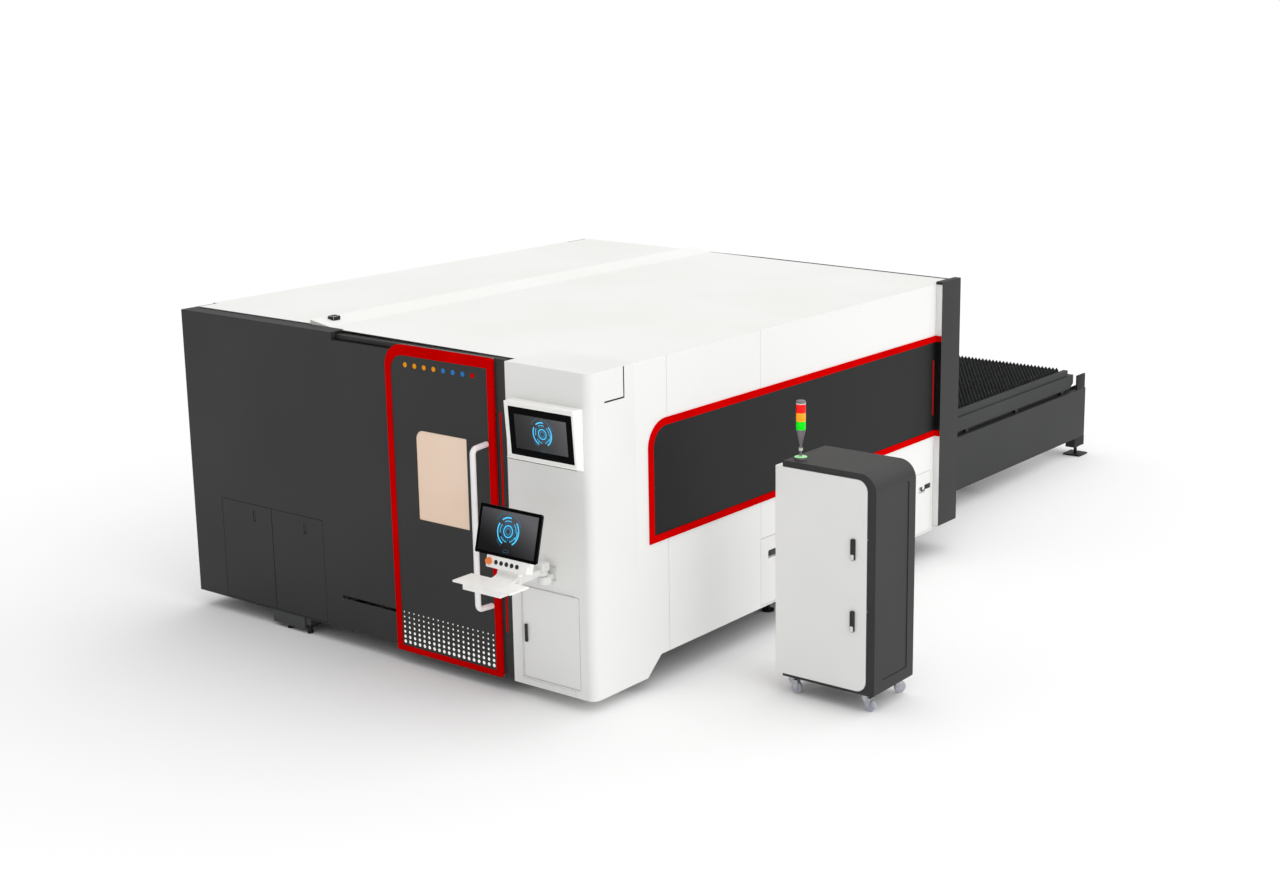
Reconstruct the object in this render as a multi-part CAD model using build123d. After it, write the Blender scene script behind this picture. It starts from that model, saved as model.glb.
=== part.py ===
from build123d import *
import os
from math import atan2, cos, degrees, hypot, radians, sin

# Fibre laser cutting machine with a closed cabin, an exchange table and a separate laser cabinet.
# Millimetres. +X runs to the right along the front, +Y from the front to the exchange table, +Z up.
# The origin is on the floor under the right foot of the front foot beam.

# Sheet and clearances
sheet = 3
door_gap = 3
slide_gap = 3
seat_gap = 0.3
running_gap = 0.05

# Cabin
cabin_width = 3600
cabin_length = 4211
front_height = 2097
skirt_clearance = 111
pan_depth = 40
roof_rise = 7
roof_fall = 19
roof_height_left = front_height + roof_rise
roof_height_right = front_height - roof_fall
ridge_width = 180
ridge_rise = 24
ridge_short = 21

# Reference foot, measured from the left side and the front face
foot_from_left = 1080
foot_from_front = 30
left = -foot_from_left
right = left + cabin_width
front = -foot_from_front

# Concealed hinge of each low door
hinge_in = 4
hinge_back = 5.2
hinge_pin = 2
hinge_lug = 8

# Widths along the front, from the operator column leftwards
column_width = 644
surround_width = 1400
surround_right = cabin_width - column_width
cover_width = surround_right - surround_width
ridge_from_left = cover_width - 406

# Front left cover
cover_top_depth = 117
cover_wrap_width = 45
cover_wrap_length = 270
hatch_width = 494
hatch_height = 700
hatch_right_edge = cover_width - 266
hatch_rise = 12
hatch_latch_inset = 169
latch_width = 26
latch_height = 78
latch_drop = 77

# Sliding door
door_from_left = surround_right - 993
door_width = 909
door_bottom = 89
door_height = front_height - slide_gap - door_bottom
door_thickness = 12
door_travel = 640
door_corner = 150
trim_side = 48
trim_top = 68
trim_bottom = 36
trim_proud = 3
window_from_door_left = 243
window_width = 430
window_bottom = 990
window_drop = 531
window_height = front_height - window_drop - window_bottom
window_corner = 60
window_glass = 5
vent_columns = 19
vent_rows = 7
vent_pitch_x = 42.7
vent_pitch_z = 33
vent_bottom = 152
vent_small = 5.6
vent_large = 12.6
grip_from_door_right = 68
grip_top = front_height - 537
grip_bottom = 540
grip_reach = 122
grip_tube = 36
grip_bend = 34

# Door surround and its rail
surround_top = front_height - 52
doorway_left = door_from_left + 272
doorway_right = surround_right - 126
doorway_bottom = 130
doorway_top = surround_top - 60
slot_from_left = cover_width - 104
slot_right = door_from_left + 149
slot_height = 20
slot_level = 335
rail_cavity_left = cover_width - 88
rail_setback = 98
rail_height = 30
rail_width = 26
carriage_length = 120
carriage_start = 160

# Operator column
column_corner = 55
column_bottom = 81
column_depth = 418
column_door_left = surround_right + 86
column_door_right = cabin_width - 110
column_door_bottom = 135
column_door_top = 712
column_grip_inset = 30
column_grip_level = 419
column_grip_width = 18
column_grip_length = 110
column_grip_reach = 14
groove = 8
groove_drop = 184
groove_back = 320
groove_front = 142

# Right side
side_bottom = 198
side_low_end = 503
side_notch_end = 639
band_front = 536
band_bottom = 930
band_top = front_height - 403
band_corner = 170
band_trim = 45
band_trim_proud = 8
band_sheet = 4
side_door_front = 1702
side_door_top = 672
side_door_bottom = 212
side_latch_width = 90
side_latch_height = 48
side_latch_level = 545
side_latch_inset = 85

# Exchange table
table_width = 1700
table_right = cabin_width - 445
table_left = table_right - table_width
opening_margin = 15
table_end = cabin_length + 3229
skirt_bottom = 171
skirt_top = 620
skirt_sheet = 12
flange_width = 62
deck_drop = 270
pallet_start = cabin_length + 29
pallet_length = 2990
pallet_travel = 3240
pallet_beam_width = 55
pallet_beam_bottom = 34
pallet_step = 152
pallet_top = 204
pallet_inset = 25
pallet_ledge = 12
upper_setback = 90
wheel_count = 4
wheel_shift = 9
slat_pitch = 114
slat_start = 80
slat_bar = 30
slat_thickness = 3
slat_height = 110
slat_tip = 240
slat_teeth = 24
tooth_depth = 16
wheel_radius = 24
wheel_width = 24
pad_size = 165
pad_thickness = 14
foot_screw = 15
foot_bracket = 108
foot_line = table_end - 70
foot_inset = 47
bracket_bottom = 86
pad_round = 21
foot_spread = 139
guide_sheet = 5
guide_height = 28
stop_length = 150
stop_height = 135
stop_width = 16

# Rear portal and shutter
portal_depth = 271
portal_overhang_left = 24
portal_overhang_right = 50
portal_wall = 12
portal_bottom = 231
portal_lip_left = 20
portal_lip_right = 4
roof_seat_drop = 12
opening_left = table_left - opening_margin
opening_right = table_right + opening_margin
shutter_thickness = 30
shutter_bottom = 640
shutter_header = 145
shutter_height = (front_height - portal_wall - shutter_header - shutter_bottom) / 2
shutter_travel = shutter_height
opening_top = shutter_bottom + shutter_height
channel_width = 40

# Bed and gantry
bed_front = column_depth + seat_gap
bed_beam_width = 190
deck_side = 85
track_sheet = 10
sill_width = 80
sill_height = 12
beam_left = 751
beam_right = 1062
beam_ear = 30
beam_ear_bottom = 62
foot_stem = 17
beam_depth = 137
beam_bottom = 27
bed_beam_bottom = 150
bed_beam_top = 930
cross_height = 150
rail_section = 30
gantry_start = 700
gantry_depth = 220
gantry_bottom = 990
gantry_height = 260
head_from_left = door_from_left + 37
head_size = 80
nozzle_tip = 4
carriage_width = 260
nozzle_level = 960

# Upper monitor
monitor_width = 582
monitor_left = cabin_width - monitor_width
monitor_top = front_height - 226
monitor_bottom = monitor_top - 344
monitor_heel = monitor_bottom - 31
monitor_depth_top = 87
monitor_depth_bottom = 60
screen_left = monitor_left + 32
screen_width = 490
screen_bottom = monitor_bottom + 20
screen_top = monitor_top - 26
monitor_face = 5
monitor_edge = 8

# Arm and console
arm_from_left = cabin_width - 338
arm_level = 858
arm_height = 46
arm_pivot_out = 60
arm_length = 205
arm_pin = 12
arm_barrel = 26
flange_shift = 30
console_from_left = cabin_width - 583
console_width = 475
console_screen_height = 289
console_lean = 13.6
console_foot_out = 368
console_foot_level = 1017
console_thickness = 34
console_face = 8
strip_width = 314
strip_height = 72
strip_inset = 98
first_button_offset = 75
strip_thickness = 56
button_pitch = 41
button_radius = 11
button_travel = 3
stop_button_radius = 21
stop_travel = 4
stop_button_offset = 24
shelf_width = 450
shelf_back_out = 404
shelf_depth = 160
shelf_level = 892
shelf_thickness = 10
shelf_box_width = 293
shelf_box_height = 32
neck_width = 160
neck_sheet = 12
neck_setback = 26
neck_rise = 38

# Laser cabinet
cabinet_left = cabin_width + 642
cabinet_width = 718
cabinet_front = 950
cabinet_depth = 446
cabinet_bottom = 113
cabinet_top = 1478
cabinet_corner = 110
cabinet_wall = 18
cabinet_door_thickness = 22
cabinet_door_right = 657
cabinet_door_bottom = 129
cabinet_door_top = 1438
cabinet_door_corner = 70
cabinet_inset = 56
cabinet_return = 50
cabinet_return_depth = 90
cabinet_hinge_in = 9
recess_front = 90
recess_back = 76
recess_bottom = 194
recess_top = 1373
recess_depth = 4
lever_from_right = 155
lever_width = 30
lever_length = 132
lever_thickness = 14
lever_upper = 1008
lever_lower = 563
lever_spindle = 9
caster_inset_x = 94
caster_inset_y = 54
caster_wheel = 37
caster_trail = 34
caster_wheel_width = 26
caster_axle = 6
caster_cheek = 4
caster_stem = 7
caster_stem_length = 12
rear_caster_turn = 59
source_width = 440
source_depth = 250
source_height = 800
lamp_from_left = 129
lamp_from_front = 85
lamp_base_radius = 40
lamp_base = 14
lamp_stem = 8
lamp_stem_height = 72
lamp_radius = 29
lamp_cone_height = 168
lamp_lens_height = 52
lamp_rod = 10
lamp_cap = 22


def block(x0, x1, y0, y1, z0, z1):
    """Box between two opposite corners."""
    return Pos((x0 + x1) / 2, (y0 + y1) / 2, (z0 + z1) / 2) * Box(x1 - x0, y1 - y0, z1 - z0)


def outline(u0, u1, v0, v1, top_left=0, top_right=0, bottom_right=0, bottom_left=0):
    """Rectangle with its own radius at each corner."""
    shape = Pos((u0 + u1) / 2, (v0 + v1) / 2) * Rectangle(u1 - u0, v1 - v0)
    corners = [(u0, v1, top_left), (u1, v1, top_right), (u1, v0, bottom_right), (u0, v0, bottom_left)]
    for u, v, radius in corners:
        if radius:
            corner = shape.vertices().sort_by_distance((u, v, 0))[0]
            shape = fillet(corner, radius)
    return shape


def facing_front(y):
    """Upright plane that faces the front, with X and Z as its own axes."""
    return Plane(origin=(0, y, 0), x_dir=(1, 0, 0), z_dir=(0, -1, 0))


def facing_right(x):
    """Upright plane that faces right, with Y and Z as its own axes."""
    return Plane(origin=(x, 0, 0), x_dir=(0, 1, 0), z_dir=(1, 0, 0))


def plate(plane, face, thickness):
    """Flat sheet whose outer face lies on the plane."""
    return extrude(plane * face, -thickness)


def pan(plane, face, depth):
    """Sheet pan with its skin on the plane and its four edges folded inwards."""
    hollow = offset(face, -sheet)
    return extrude(plane * face, -depth) - extrude(plane.offset(-sheet) * hollow, sheet - depth)


def tube_between(start, end, radius):
    """Round bar between two points."""
    along = Vector(*end) - Vector(*start)
    return extrude(Plane(origin=start, z_dir=along) * Circle(radius), along.length)


def pin_and_lugs(x, y, bottom, top):
    """Upright hinge pin that reaches past both ends of a door, and the bores that take it."""
    reach = door_gap + hinge_lug - 2
    pins = tube_between((x, y, top - sheet), (x, y, top + reach), hinge_pin)
    pins += tube_between((x, y, bottom + sheet), (x, y, bottom - reach), hinge_pin)
    bores = tube_between((x, y, top), (x, y, top + reach + 1), hinge_pin + running_gap)
    bores += tube_between((x, y, bottom), (x, y, bottom - reach - 1), hinge_pin + running_gap)
    return pins, bores


def lugs(x0, x1, y0, y1, bottom, top):
    """Bored lugs above and below a door opening, still without their bores."""
    upper = block(x0, x1, y0, y1, top + door_gap, top + door_gap + hinge_lug)
    lower = block(x0, x1, y0, y1, bottom - door_gap - hinge_lug, bottom - door_gap)
    return upper + lower


def save(solid, name):
    solid.label = name
    export_step(solid, f"parts/{name}.step")


# Front left cover

def front_cover():
    plane = facing_front(front)
    face = outline(left, left + cover_width, skirt_clearance, front_height)
    cavity = outline(left + rail_cavity_left, left + cover_width, surround_top, front_height)
    cover = pan(plane, face - cavity, pan_depth)
    top = front_height - sheet
    cover += block(left, left + rail_cavity_left, front, front + cover_top_depth, top, front_height)
    cover += block(left, left + cover_wrap_width, front, front + cover_wrap_length, top, front_height)
    for n in (1, 2):
        x0, x1 = hatch_span(n)
        cover -= block(x0 - door_gap, x1 + door_gap, front - 1, front + sheet + 1,
                       hatch_bottom - door_gap, hatch_top + door_gap)
        pins, bores = pin_and_lugs(x0 + hinge_in, front + hinge_back, hatch_bottom, hatch_top)
        cover += lugs(x0 - hinge_lug, x0 + hinge_lug, front + sheet, front + 2 * hinge_back,
                      hatch_bottom, hatch_top) - bores
    return cover - guide_slot()


hatch_bottom = skirt_clearance + hatch_rise
hatch_top = hatch_bottom + hatch_height


def hatch_span(n):
    """Left and right edge of low hatch 1 or 2, counted from the left."""
    pitch = hatch_width + 2 * door_gap
    x1 = left + hatch_right_edge - (2 - n) * pitch
    return x1 - hatch_width, x1


def hatch(n):
    x0, x1 = hatch_span(n)
    panel = pan(facing_front(front), outline(x0, x1, hatch_bottom, hatch_top), pan_depth / 2)
    latch_x = x1 - hatch_latch_inset
    latch_z = hatch_top - latch_drop
    latch = outline(latch_x - latch_width / 2, latch_x + latch_width / 2,
                    latch_z - latch_height / 2, latch_z + latch_height / 2,
                    latch_width / 3, latch_width / 3, latch_width / 3, latch_width / 3)
    cup = plate(facing_front(front), offset(latch, sheet), pan_depth / 2)
    hole = plate(facing_front(front), latch, pan_depth / 2 - sheet)
    pins, bores = pin_and_lugs(x0 + hinge_in, front + hinge_back, hatch_bottom, hatch_top)
    return panel + cup + pins - hole


# Door surround, doorway, guide slot and overhead rail

def surround():
    plane = facing_front(front)
    x0 = left + cover_width
    x1 = left + surround_right
    wall = pan(plane, outline(x0, x1, skirt_clearance, surround_top), pan_depth)
    jambs = block(left + doorway_left - pan_depth, left + doorway_right + pan_depth, front + sheet,
                  front + pan_depth, doorway_bottom - sheet, doorway_top + pan_depth)
    doorway = block(left + doorway_left, left + doorway_right, front - 1, front + pan_depth + 1,
                    doorway_bottom, doorway_top)
    strip = block(left + door_from_left + door_width + slide_gap, x1, front, front + pan_depth,
                  surround_top - sheet, front_height - 2 * slide_gap)
    return wall + jambs + strip + door_rail() - doorway - guide_slot()


def guide_slot():
    """Level slot that guides the foot of the sliding door."""
    return block(left + slot_from_left, left + slot_right, front - 1, front + pan_depth + 1,
                 slot_level - slot_height / 2, slot_level + slot_height / 2)


rail_y = front + rail_setback / 2
rail_right = door_from_left + door_width
rail_bottom = surround_top + slide_gap


def door_rail():
    """Overhead rail on a folded carrier that rises from the surround, right behind the door top."""
    x0 = left + rail_cavity_left + seat_gap
    x1 = left + rail_right
    back = front + rail_setback - seat_gap
    floor = block(left + cover_width, x1, front + pan_depth / 2, back, surround_top - sheet, surround_top)
    riser = block(left + cover_width, x1, back - sheet, back, surround_top - sheet, rail_bottom + rail_height)
    shelf = block(x0, x1, rail_y - rail_width / 2, back, rail_bottom + rail_height - sheet,
                  rail_bottom + rail_height)
    web = block(x0, x1, rail_y - rail_width / 2, rail_y - rail_width / 2 + sheet, rail_bottom + slide_gap,
                rail_bottom + rail_height)
    return floor + riser + shelf + web


# Sliding door

door_left = left + door_from_left
door_right = door_left + door_width
door_back = front - slide_gap
door_face = door_back - door_thickness
door_top = door_bottom + door_height
liner_sheet = 2


def door_face_outline():
    return outline(door_left, door_right, door_bottom, door_top, top_left=door_corner,
                   top_right=6, bottom_right=6, bottom_left=6)


def window_outline(margin=0):
    x0 = door_left + window_from_door_left
    return outline(x0 - margin, x0 + window_width + margin, window_bottom - margin,
                   window_bottom + window_height + margin, top_left=window_corner + margin,
                   top_right=6, bottom_right=6, bottom_left=6)


def vent_span():
    """Left, right, bottom and top of the vented field."""
    centre = door_left + door_width / 2
    half = (vent_columns - 1) / 2 * vent_pitch_x
    top = vent_bottom + (vent_rows - 1) * vent_pitch_z
    return centre - half, centre + half, vent_bottom, top


def vent_holes():
    """Rows of holes that grow towards the floor."""
    x0, x1, z0, z1 = vent_span()
    holes = Sketch()
    for row in range(vent_rows):
        share = row / (vent_rows - 1)
        radius = vent_large + (vent_small - vent_large) * share
        places = [(x0 + column * vent_pitch_x, z0 + row * vent_pitch_z) for column in range(vent_columns)]
        holes += [Pos(*place) * RegularPolygon(radius, 6) for place in places]
    return holes


def sliding_door():
    plane = facing_front(door_face)
    skin = door_face_outline() - window_outline() - vent_holes()
    shell = plate(plane, skin, sheet)
    inner = offset(door_face_outline(), -trim_side / 2)
    edge = door_face_outline() - inner
    shell += plate(plane.offset(-sheet), edge, door_thickness - sheet - liner_sheet)
    frame = window_outline(trim_side / 3) - window_outline()
    return shell + plate(plane.offset(-sheet), frame, door_thickness - sheet - liner_sheet)


def door_liner():
    """Inner skin of the door, with a raised box that backs the vented field."""
    plane = facing_front(door_back - liner_sheet)
    skin = plate(plane, door_face_outline() - window_outline(), liner_sheet)
    x0, x1, z0, z1 = vent_span()
    grow = vent_pitch_z / 2
    box = plate(facing_front(door_face + sheet), outline(x0 - grow, x1 + grow, z0 - grow, z1 + grow),
                door_thickness - sheet - liner_sheet)
    return skin + box + door_hangers()


def door_trim():
    outer = door_face_outline()
    inner = outline(door_left + trim_side, door_right - trim_side, door_bottom + trim_bottom,
                    door_top - trim_top, top_left=door_corner - trim_side, top_right=4,
                    bottom_right=4, bottom_left=4)
    return plate(facing_front(door_face - trim_proud), outer - inner, trim_proud)


def door_window():
    glass = offset(window_outline(), -seat_gap)
    return plate(facing_front(door_face + (door_thickness - window_glass) / 2), glass, window_glass)


def door_grip():
    """Long bent tube with a round flange at each end."""
    x = door_right - grip_from_door_right
    out = door_face - grip_reach
    route = FilletPolyline((x, door_face, grip_top), (x, out, grip_top - grip_bend / 4),
                           (x, out, grip_bottom + grip_bend / 4), (x, door_face, grip_bottom),
                           radius=grip_bend)
    section = Plane(origin=route @ 0, z_dir=route % 0) * Circle(grip_tube / 2)
    grip = sweep(section, route)
    return grip & block(x - grip_tube, x + grip_tube, out - grip_tube, door_face, 0, front_height)


def door_hangers():
    """Two hooked hangers that ride the overhead rail, and the pin that runs in the guide slot."""
    pin_x = left + slot_right - slot_height / 2 - seat_gap
    hangers = tube_between((pin_x, door_back - liner_sheet, slot_level),
                           (pin_x, front + pan_depth / 2, slot_level), slot_height / 2 - 1)
    lip = rail_y - rail_width / 2 - seat_gap
    for start in (carriage_start, door_width - carriage_start - carriage_length):
        x0 = door_left + start
        x1 = x0 + carriage_length
        low = surround_top + seat_gap
        hook = lip + sheet + 2 * seat_gap
        hangers += block(x0, x1, door_back - liner_sheet, hook + sheet, low, low + sheet)
        hangers += block(x0, x1, hook, hook + sheet, low, rail_bottom + slide_gap + rail_height / 2)
    return hangers


# Left side, roof and ridge

def left_shell():
    """Left side skin and the left half of the roof."""
    x0 = left
    y0 = front + cover_wrap_length + seat_gap
    y1 = front + cabin_length - portal_depth - seat_gap
    wall = block(x0, x0 + sheet, y0, y1, skirt_clearance, roof_height_left - sheet)
    low = block(x0, x0 + sheet, front + pan_depth + seat_gap, y0, skirt_clearance, front_height - 2 * sheet)
    foot = block(x0, x0 + pan_depth, front + pan_depth + seat_gap, y1, skirt_clearance, skirt_clearance + sheet)
    roof = block(x0, left + ridge_from_left - seat_gap, front + cover_top_depth + seat_gap, y1,
                 roof_height_left - sheet, roof_height_left)
    corner = block(x0, x0 + cover_wrap_width + seat_gap, front, y0, roof_height_left - pan_depth,
                   roof_height_left + 1)
    tail = block(left + portal_lip_left + seat_gap, left + ridge_from_left - seat_gap, y1 - 1, roof_end,
                 roof_height_left - sheet, roof_height_left)
    return wall + low + foot + (roof + tail - corner)


def roof_height_at(x):
    """Height of the right roof, which falls slightly to the right."""
    start = left + ridge_from_left
    share = (x - start) / (right - start)
    return roof_height_left - 4 + (roof_height_right - roof_height_left + 4) * share


def right_roof():
    """Ridge wedge and the right half of the roof, one folded skin."""
    y0 = front + rail_setback + seat_gap
    y1 = front + cabin_length - portal_depth - seat_gap
    x0 = left + ridge_from_left
    x1 = x0 + ridge_width
    x2 = right - sheet - seat_gap
    top = [(x0, roof_height_left), (x0, roof_height_left + ridge_rise), (x1, roof_height_at(x1)),
           (x2, roof_height_at(x2))]
    under = [(x2, roof_height_at(x2) - sheet), (x0, roof_height_left - 2 * sheet)]
    profile = make_face(Polyline(*top, *under, close=True))
    section = Plane(origin=(0, roof_end, 0), x_dir=(1, 0, 0), z_dir=(0, -1, 0)) * profile
    roof = extrude(section, roof_end - y0)
    behind_cover = block(x0 - 1, left + rail_cavity_left, y0 - 1, front + cover_top_depth + seat_gap,
                         roof_height_right - pan_depth, roof_height_left + pan_depth)
    behind_column = block(left + surround_right - seat_gap, right, y0 - 1, front + column_depth + seat_gap,
                          roof_height_right - pan_depth, roof_height_left + pan_depth)
    beside_lip = block(right - portal_lip_right - seat_gap, right, y1, roof_end + 1,
                       roof_height_right - pan_depth, roof_height_left + pan_depth)
    lamp = block(x0 + pan_depth, x0 + pan_depth + 55, front + 230, front + 290,
                 roof_height_left - sheet, roof_height_left + ridge_rise + 12)
    return roof - behind_cover - behind_column - beside_lip + lamp



# Operator column and right side

def column_outline(grow=0):
    """Plan of the column with a rounded corner towards the right front."""
    x0 = left + surround_right
    x1 = right - grow
    y0 = front + grow
    y1 = front + column_depth
    plan = Pos((x0 + x1) / 2, (y0 + y1) / 2) * Rectangle(x1 - x0, y1 - y0)
    corner = plan.vertices().sort_by_distance((x1, y0, 0))[0]
    return fillet(corner, column_corner - grow)


def column_door_face(grow=0):
    return outline(left + column_door_left - grow, left + column_door_right + grow,
                   column_door_bottom - grow, column_door_top + grow)


def operator_column():
    top = roof_height_right
    low = groove_drop
    body = Pos(0, 0, column_bottom) * extrude(column_outline(), top - column_bottom)
    core = Pos(0, 0, column_bottom + sheet) * extrude(column_outline(sheet), top - column_bottom - 2 * sheet)
    body -= core & block(left, right, front, front + column_depth - sheet, column_bottom, top)
    body -= plate(facing_front(front - 1), column_door_face(door_gap), 2 * sheet)
    back = block(right - 2 * groove, right + 1, front + groove_back - groove / 2,
                 front + groove_back + groove / 2, top - low, top - sheet)
    run = block(right - 2 * groove, right + 1, front + groove_front, front + groove_back + groove / 2,
                top - low - groove, top - low)
    lining = block(right - 3 * groove, right - sheet, front + groove_front - groove,
                   front + groove_back + 2 * groove, top - low - 2 * groove, top - sheet)
    stand = block(left + surround_right + sheet, left + surround_right + pan_depth,
                  front + column_depth - pan_depth, front + column_depth, skirt_clearance, column_bottom + pan_depth)
    arm_pad = block(left + arm_from_left - arm_height * 1.5, left + arm_from_left + arm_height * 1.5,
                    front + sheet, front + 3 * sheet, arm_level - arm_height * 1.5,
                    arm_level + arm_height * 1.5)
    hinge_x = left + column_door_right - hinge_in
    pins, bores = pin_and_lugs(hinge_x, front + hinge_back, column_door_bottom, column_door_top)
    body += lugs(hinge_x - hinge_lug, hinge_x + hinge_lug, front + sheet, front + 2 * hinge_back,
                 column_door_bottom, column_door_top) - bores
    return body + lining + stand + arm_pad - back - run


def column_door():
    """Low door of the column, with a stub grip at its left edge."""
    skin = pan(facing_front(front), column_door_face(), pan_depth / 2)
    x = left + column_door_left + column_grip_inset
    half = column_grip_width / 2
    reach = column_grip_length / 2
    grip = outline(x - half, x + half, column_grip_level - reach, column_grip_level + reach,
                   half, half, half, half)
    stem = block(x - half / 2, x + half / 2, front - column_grip_reach / 2, front,
                 column_grip_level - reach * 0.7, column_grip_level + reach * 0.7)
    pins, bores = pin_and_lugs(left + column_door_right - hinge_in, front + hinge_back,
                               column_door_bottom, column_door_top)
    return skin + stem + plate(facing_front(front - column_grip_reach), grip, column_grip_reach * 0.6) + pins


def side_skin():
    """Right side below, in front of and above the dark band."""
    x1 = right
    y0 = front + column_depth + seat_gap
    y1 = front + cabin_length - portal_depth - seat_gap
    points = [(y0, column_bottom), (front + side_low_end, column_bottom),
              (front + side_notch_end, side_bottom), (y1, side_bottom),
              (y1, roof_height_right - 2), (y0, roof_height_right)]
    face = make_face(Polyline(*points, close=True))
    skin = plate(facing_right(x1), face, sheet)
    skin -= plate(facing_right(x1 + 1), band_outline(-band_trim / 2), 2 + sheet)
    for n in (1, 2):
        skin -= plate(facing_right(x1 + 1), side_door_face(n, door_gap), 2 + sheet)
    top = block(x1 - pan_depth, x1 - sheet, y0, y1, roof_height_right - pan_depth / 2 - 2 * sheet,
                roof_height_right - pan_depth / 2)
    low = block(x1 - pan_depth, x1 - sheet, front + side_notch_end, y1, side_bottom, side_bottom + sheet)
    for n in (1, 2):
        y = side_hinge(n)
        pins, bores = pin_and_lugs(right - hinge_back, y, side_door_bottom, side_door_top)
        skin += lugs(right - 2 * hinge_back, right - sheet, y - hinge_lug / 2, y + hinge_lug / 2,
                     side_door_bottom, side_door_top) - bores
    return skin + top + low


def band_outline(grow=0):
    """Side band with one large radius at its upper front corner."""
    y1 = front + cabin_length - portal_depth - seat_gap
    return outline(front + band_front - grow, y1, band_bottom - grow, band_top + grow,
                   top_left=band_corner + grow)


def side_band():
    face = band_outline(-band_trim)
    panel = plate(facing_right(right + band_sheet), face, 2 * band_sheet)
    return panel


def side_band_trim():
    face = band_outline() - band_outline(-band_trim)
    return plate(facing_right(right + band_trim_proud), face, band_trim_proud)


side_door_length = (cabin_length - portal_depth - side_door_front - 40) / 2


def side_door_span(n):
    """Front and rear edge of low side door 1 or 2, counted from the front."""
    y0 = front + side_door_front + (n - 1) * (side_door_length + 2 * door_gap)
    return y0, y0 + side_door_length


def side_hinge(n):
    """Hinge line of low side door 1 or 2; both doors turn on their inner edges."""
    y0, y1 = side_door_span(n)
    return y1 - hinge_in if n == 1 else y0 + hinge_in


def side_door_face(n, grow=0):
    y0, y1 = side_door_span(n)
    return outline(y0 - grow, y1 + grow, side_door_bottom - grow, side_door_top + grow)


def side_door(n):
    """Low side door with a cupped latch near its free edge."""
    panel = pan(facing_right(right), side_door_face(n), pan_depth / 2)
    y0, y1 = side_door_span(n)
    if n == 1:
        centre = y0 + side_latch_inset + side_latch_width / 2
    else:
        centre = y1 - side_latch_inset - side_latch_width / 2
    latch = outline(centre - side_latch_width / 2, centre + side_latch_width / 2,
                    side_latch_level - side_latch_height / 2, side_latch_level + side_latch_height / 2,
                    6, 6, 6, 6)
    cup = plate(facing_right(right), offset(latch, sheet), pan_depth / 2)
    hole = plate(facing_right(right), latch, pan_depth / 2 - sheet)
    pins, bores = pin_and_lugs(right - hinge_back, side_hinge(n), side_door_bottom, side_door_top)
    return panel + cup + pins - hole


# Rear portal and shutter

portal_start = front + cabin_length - portal_depth
portal_end = front + cabin_length
roof_seat = roof_height_right - roof_seat_drop
roof_end = portal_end - ridge_short - seat_gap
shutter_y = portal_end - portal_wall - 2 * shutter_thickness


def rear_portal():
    """Deep frame round the rear of the cabin, open where the pallets pass."""
    x0 = left - portal_overhang_left
    x1 = right + portal_overhang_right
    frame = block(x0, x1, portal_start, portal_end, portal_bottom, front_height)
    hollow = block(left + sheet, right - sheet, portal_start - 1, portal_end - portal_wall,
                   portal_bottom + portal_wall, roof_seat - portal_wall)
    recess = block(left + portal_lip_left, right - portal_lip_right, portal_start - 1, portal_end - ridge_short,
                   roof_seat, front_height + 1)
    ridge_x = left + ridge_from_left
    slope = make_face(Polyline((ridge_x, roof_height_at(ridge_x) + sheet), (ridge_x, front_height + pan_depth),
                               (right - portal_lip_right, front_height + pan_depth),
                               (right - portal_lip_right, roof_height_at(right) + sheet), close=True))
    trim = extrude(facing_front(portal_end + 1) * slope, 2 * ridge_short)
    trim += extrude(facing_front(portal_end + 1) * slope, -1)
    way = block(left + opening_left, left + opening_right, portal_start - 1, portal_end + 1,
                portal_bottom - 1, opening_top)
    guides = Part()
    for x in (left + opening_left - channel_width, left + opening_right + channel_width):
        post = block(x - channel_width, x + channel_width, shutter_y - shutter_thickness,
                     portal_end - portal_wall, portal_bottom + portal_wall, roof_seat - portal_wall)
        guides += post
    frame = frame - hollow + guides - way - recess - trim
    return frame - shutter_slot()


def shutter_slot():
    x0 = left + opening_left - channel_width / 2
    x1 = left + opening_right + channel_width / 2
    return block(x0 - seat_gap, x1 + seat_gap, shutter_y - shutter_thickness / 2 - seat_gap,
                 shutter_y + shutter_thickness / 2 + seat_gap, shutter_bottom - seat_gap,
                 roof_seat - portal_wall)


def rear_shutter():
    """Lifting shutter with folded slats, raised at rest."""
    x0 = left + opening_left - channel_width / 2
    x1 = left + opening_right + channel_width / 2
    z0 = shutter_bottom + shutter_travel
    slab = block(x0, x1, shutter_y - shutter_thickness / 2, shutter_y + shutter_thickness / 2, z0,
                 z0 + shutter_height)
    for n in range(1, 5):
        z = z0 + n * shutter_height / 5
        slab -= block(x0 + channel_width, x1 - channel_width, shutter_y - shutter_thickness,
                      shutter_y - shutter_thickness / 2 + sheet, z - sheet, z + sheet)
    return slab


# Bed

bed_left = left + table_left - deck_side
bed_right = left + table_right + deck_side
bed_start = front + bed_front
bed_end = portal_start - pan_depth
table_middle = left + (table_left + table_right) / 2
lower_track = skirt_top - deck_drop


def tracks(x, side, y0, y1):
    """Upper and lower ledge that the pallet wheels roll on, reaching inwards from x."""
    inner = x - side * flange_width
    x0, x1 = sorted((x, inner))
    upper = block(x0, x1, y0, y1, skirt_top - track_sheet, skirt_top)
    lower = block(x0, x1, y0, y1, lower_track - track_sheet, lower_track)
    return upper + lower


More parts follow.
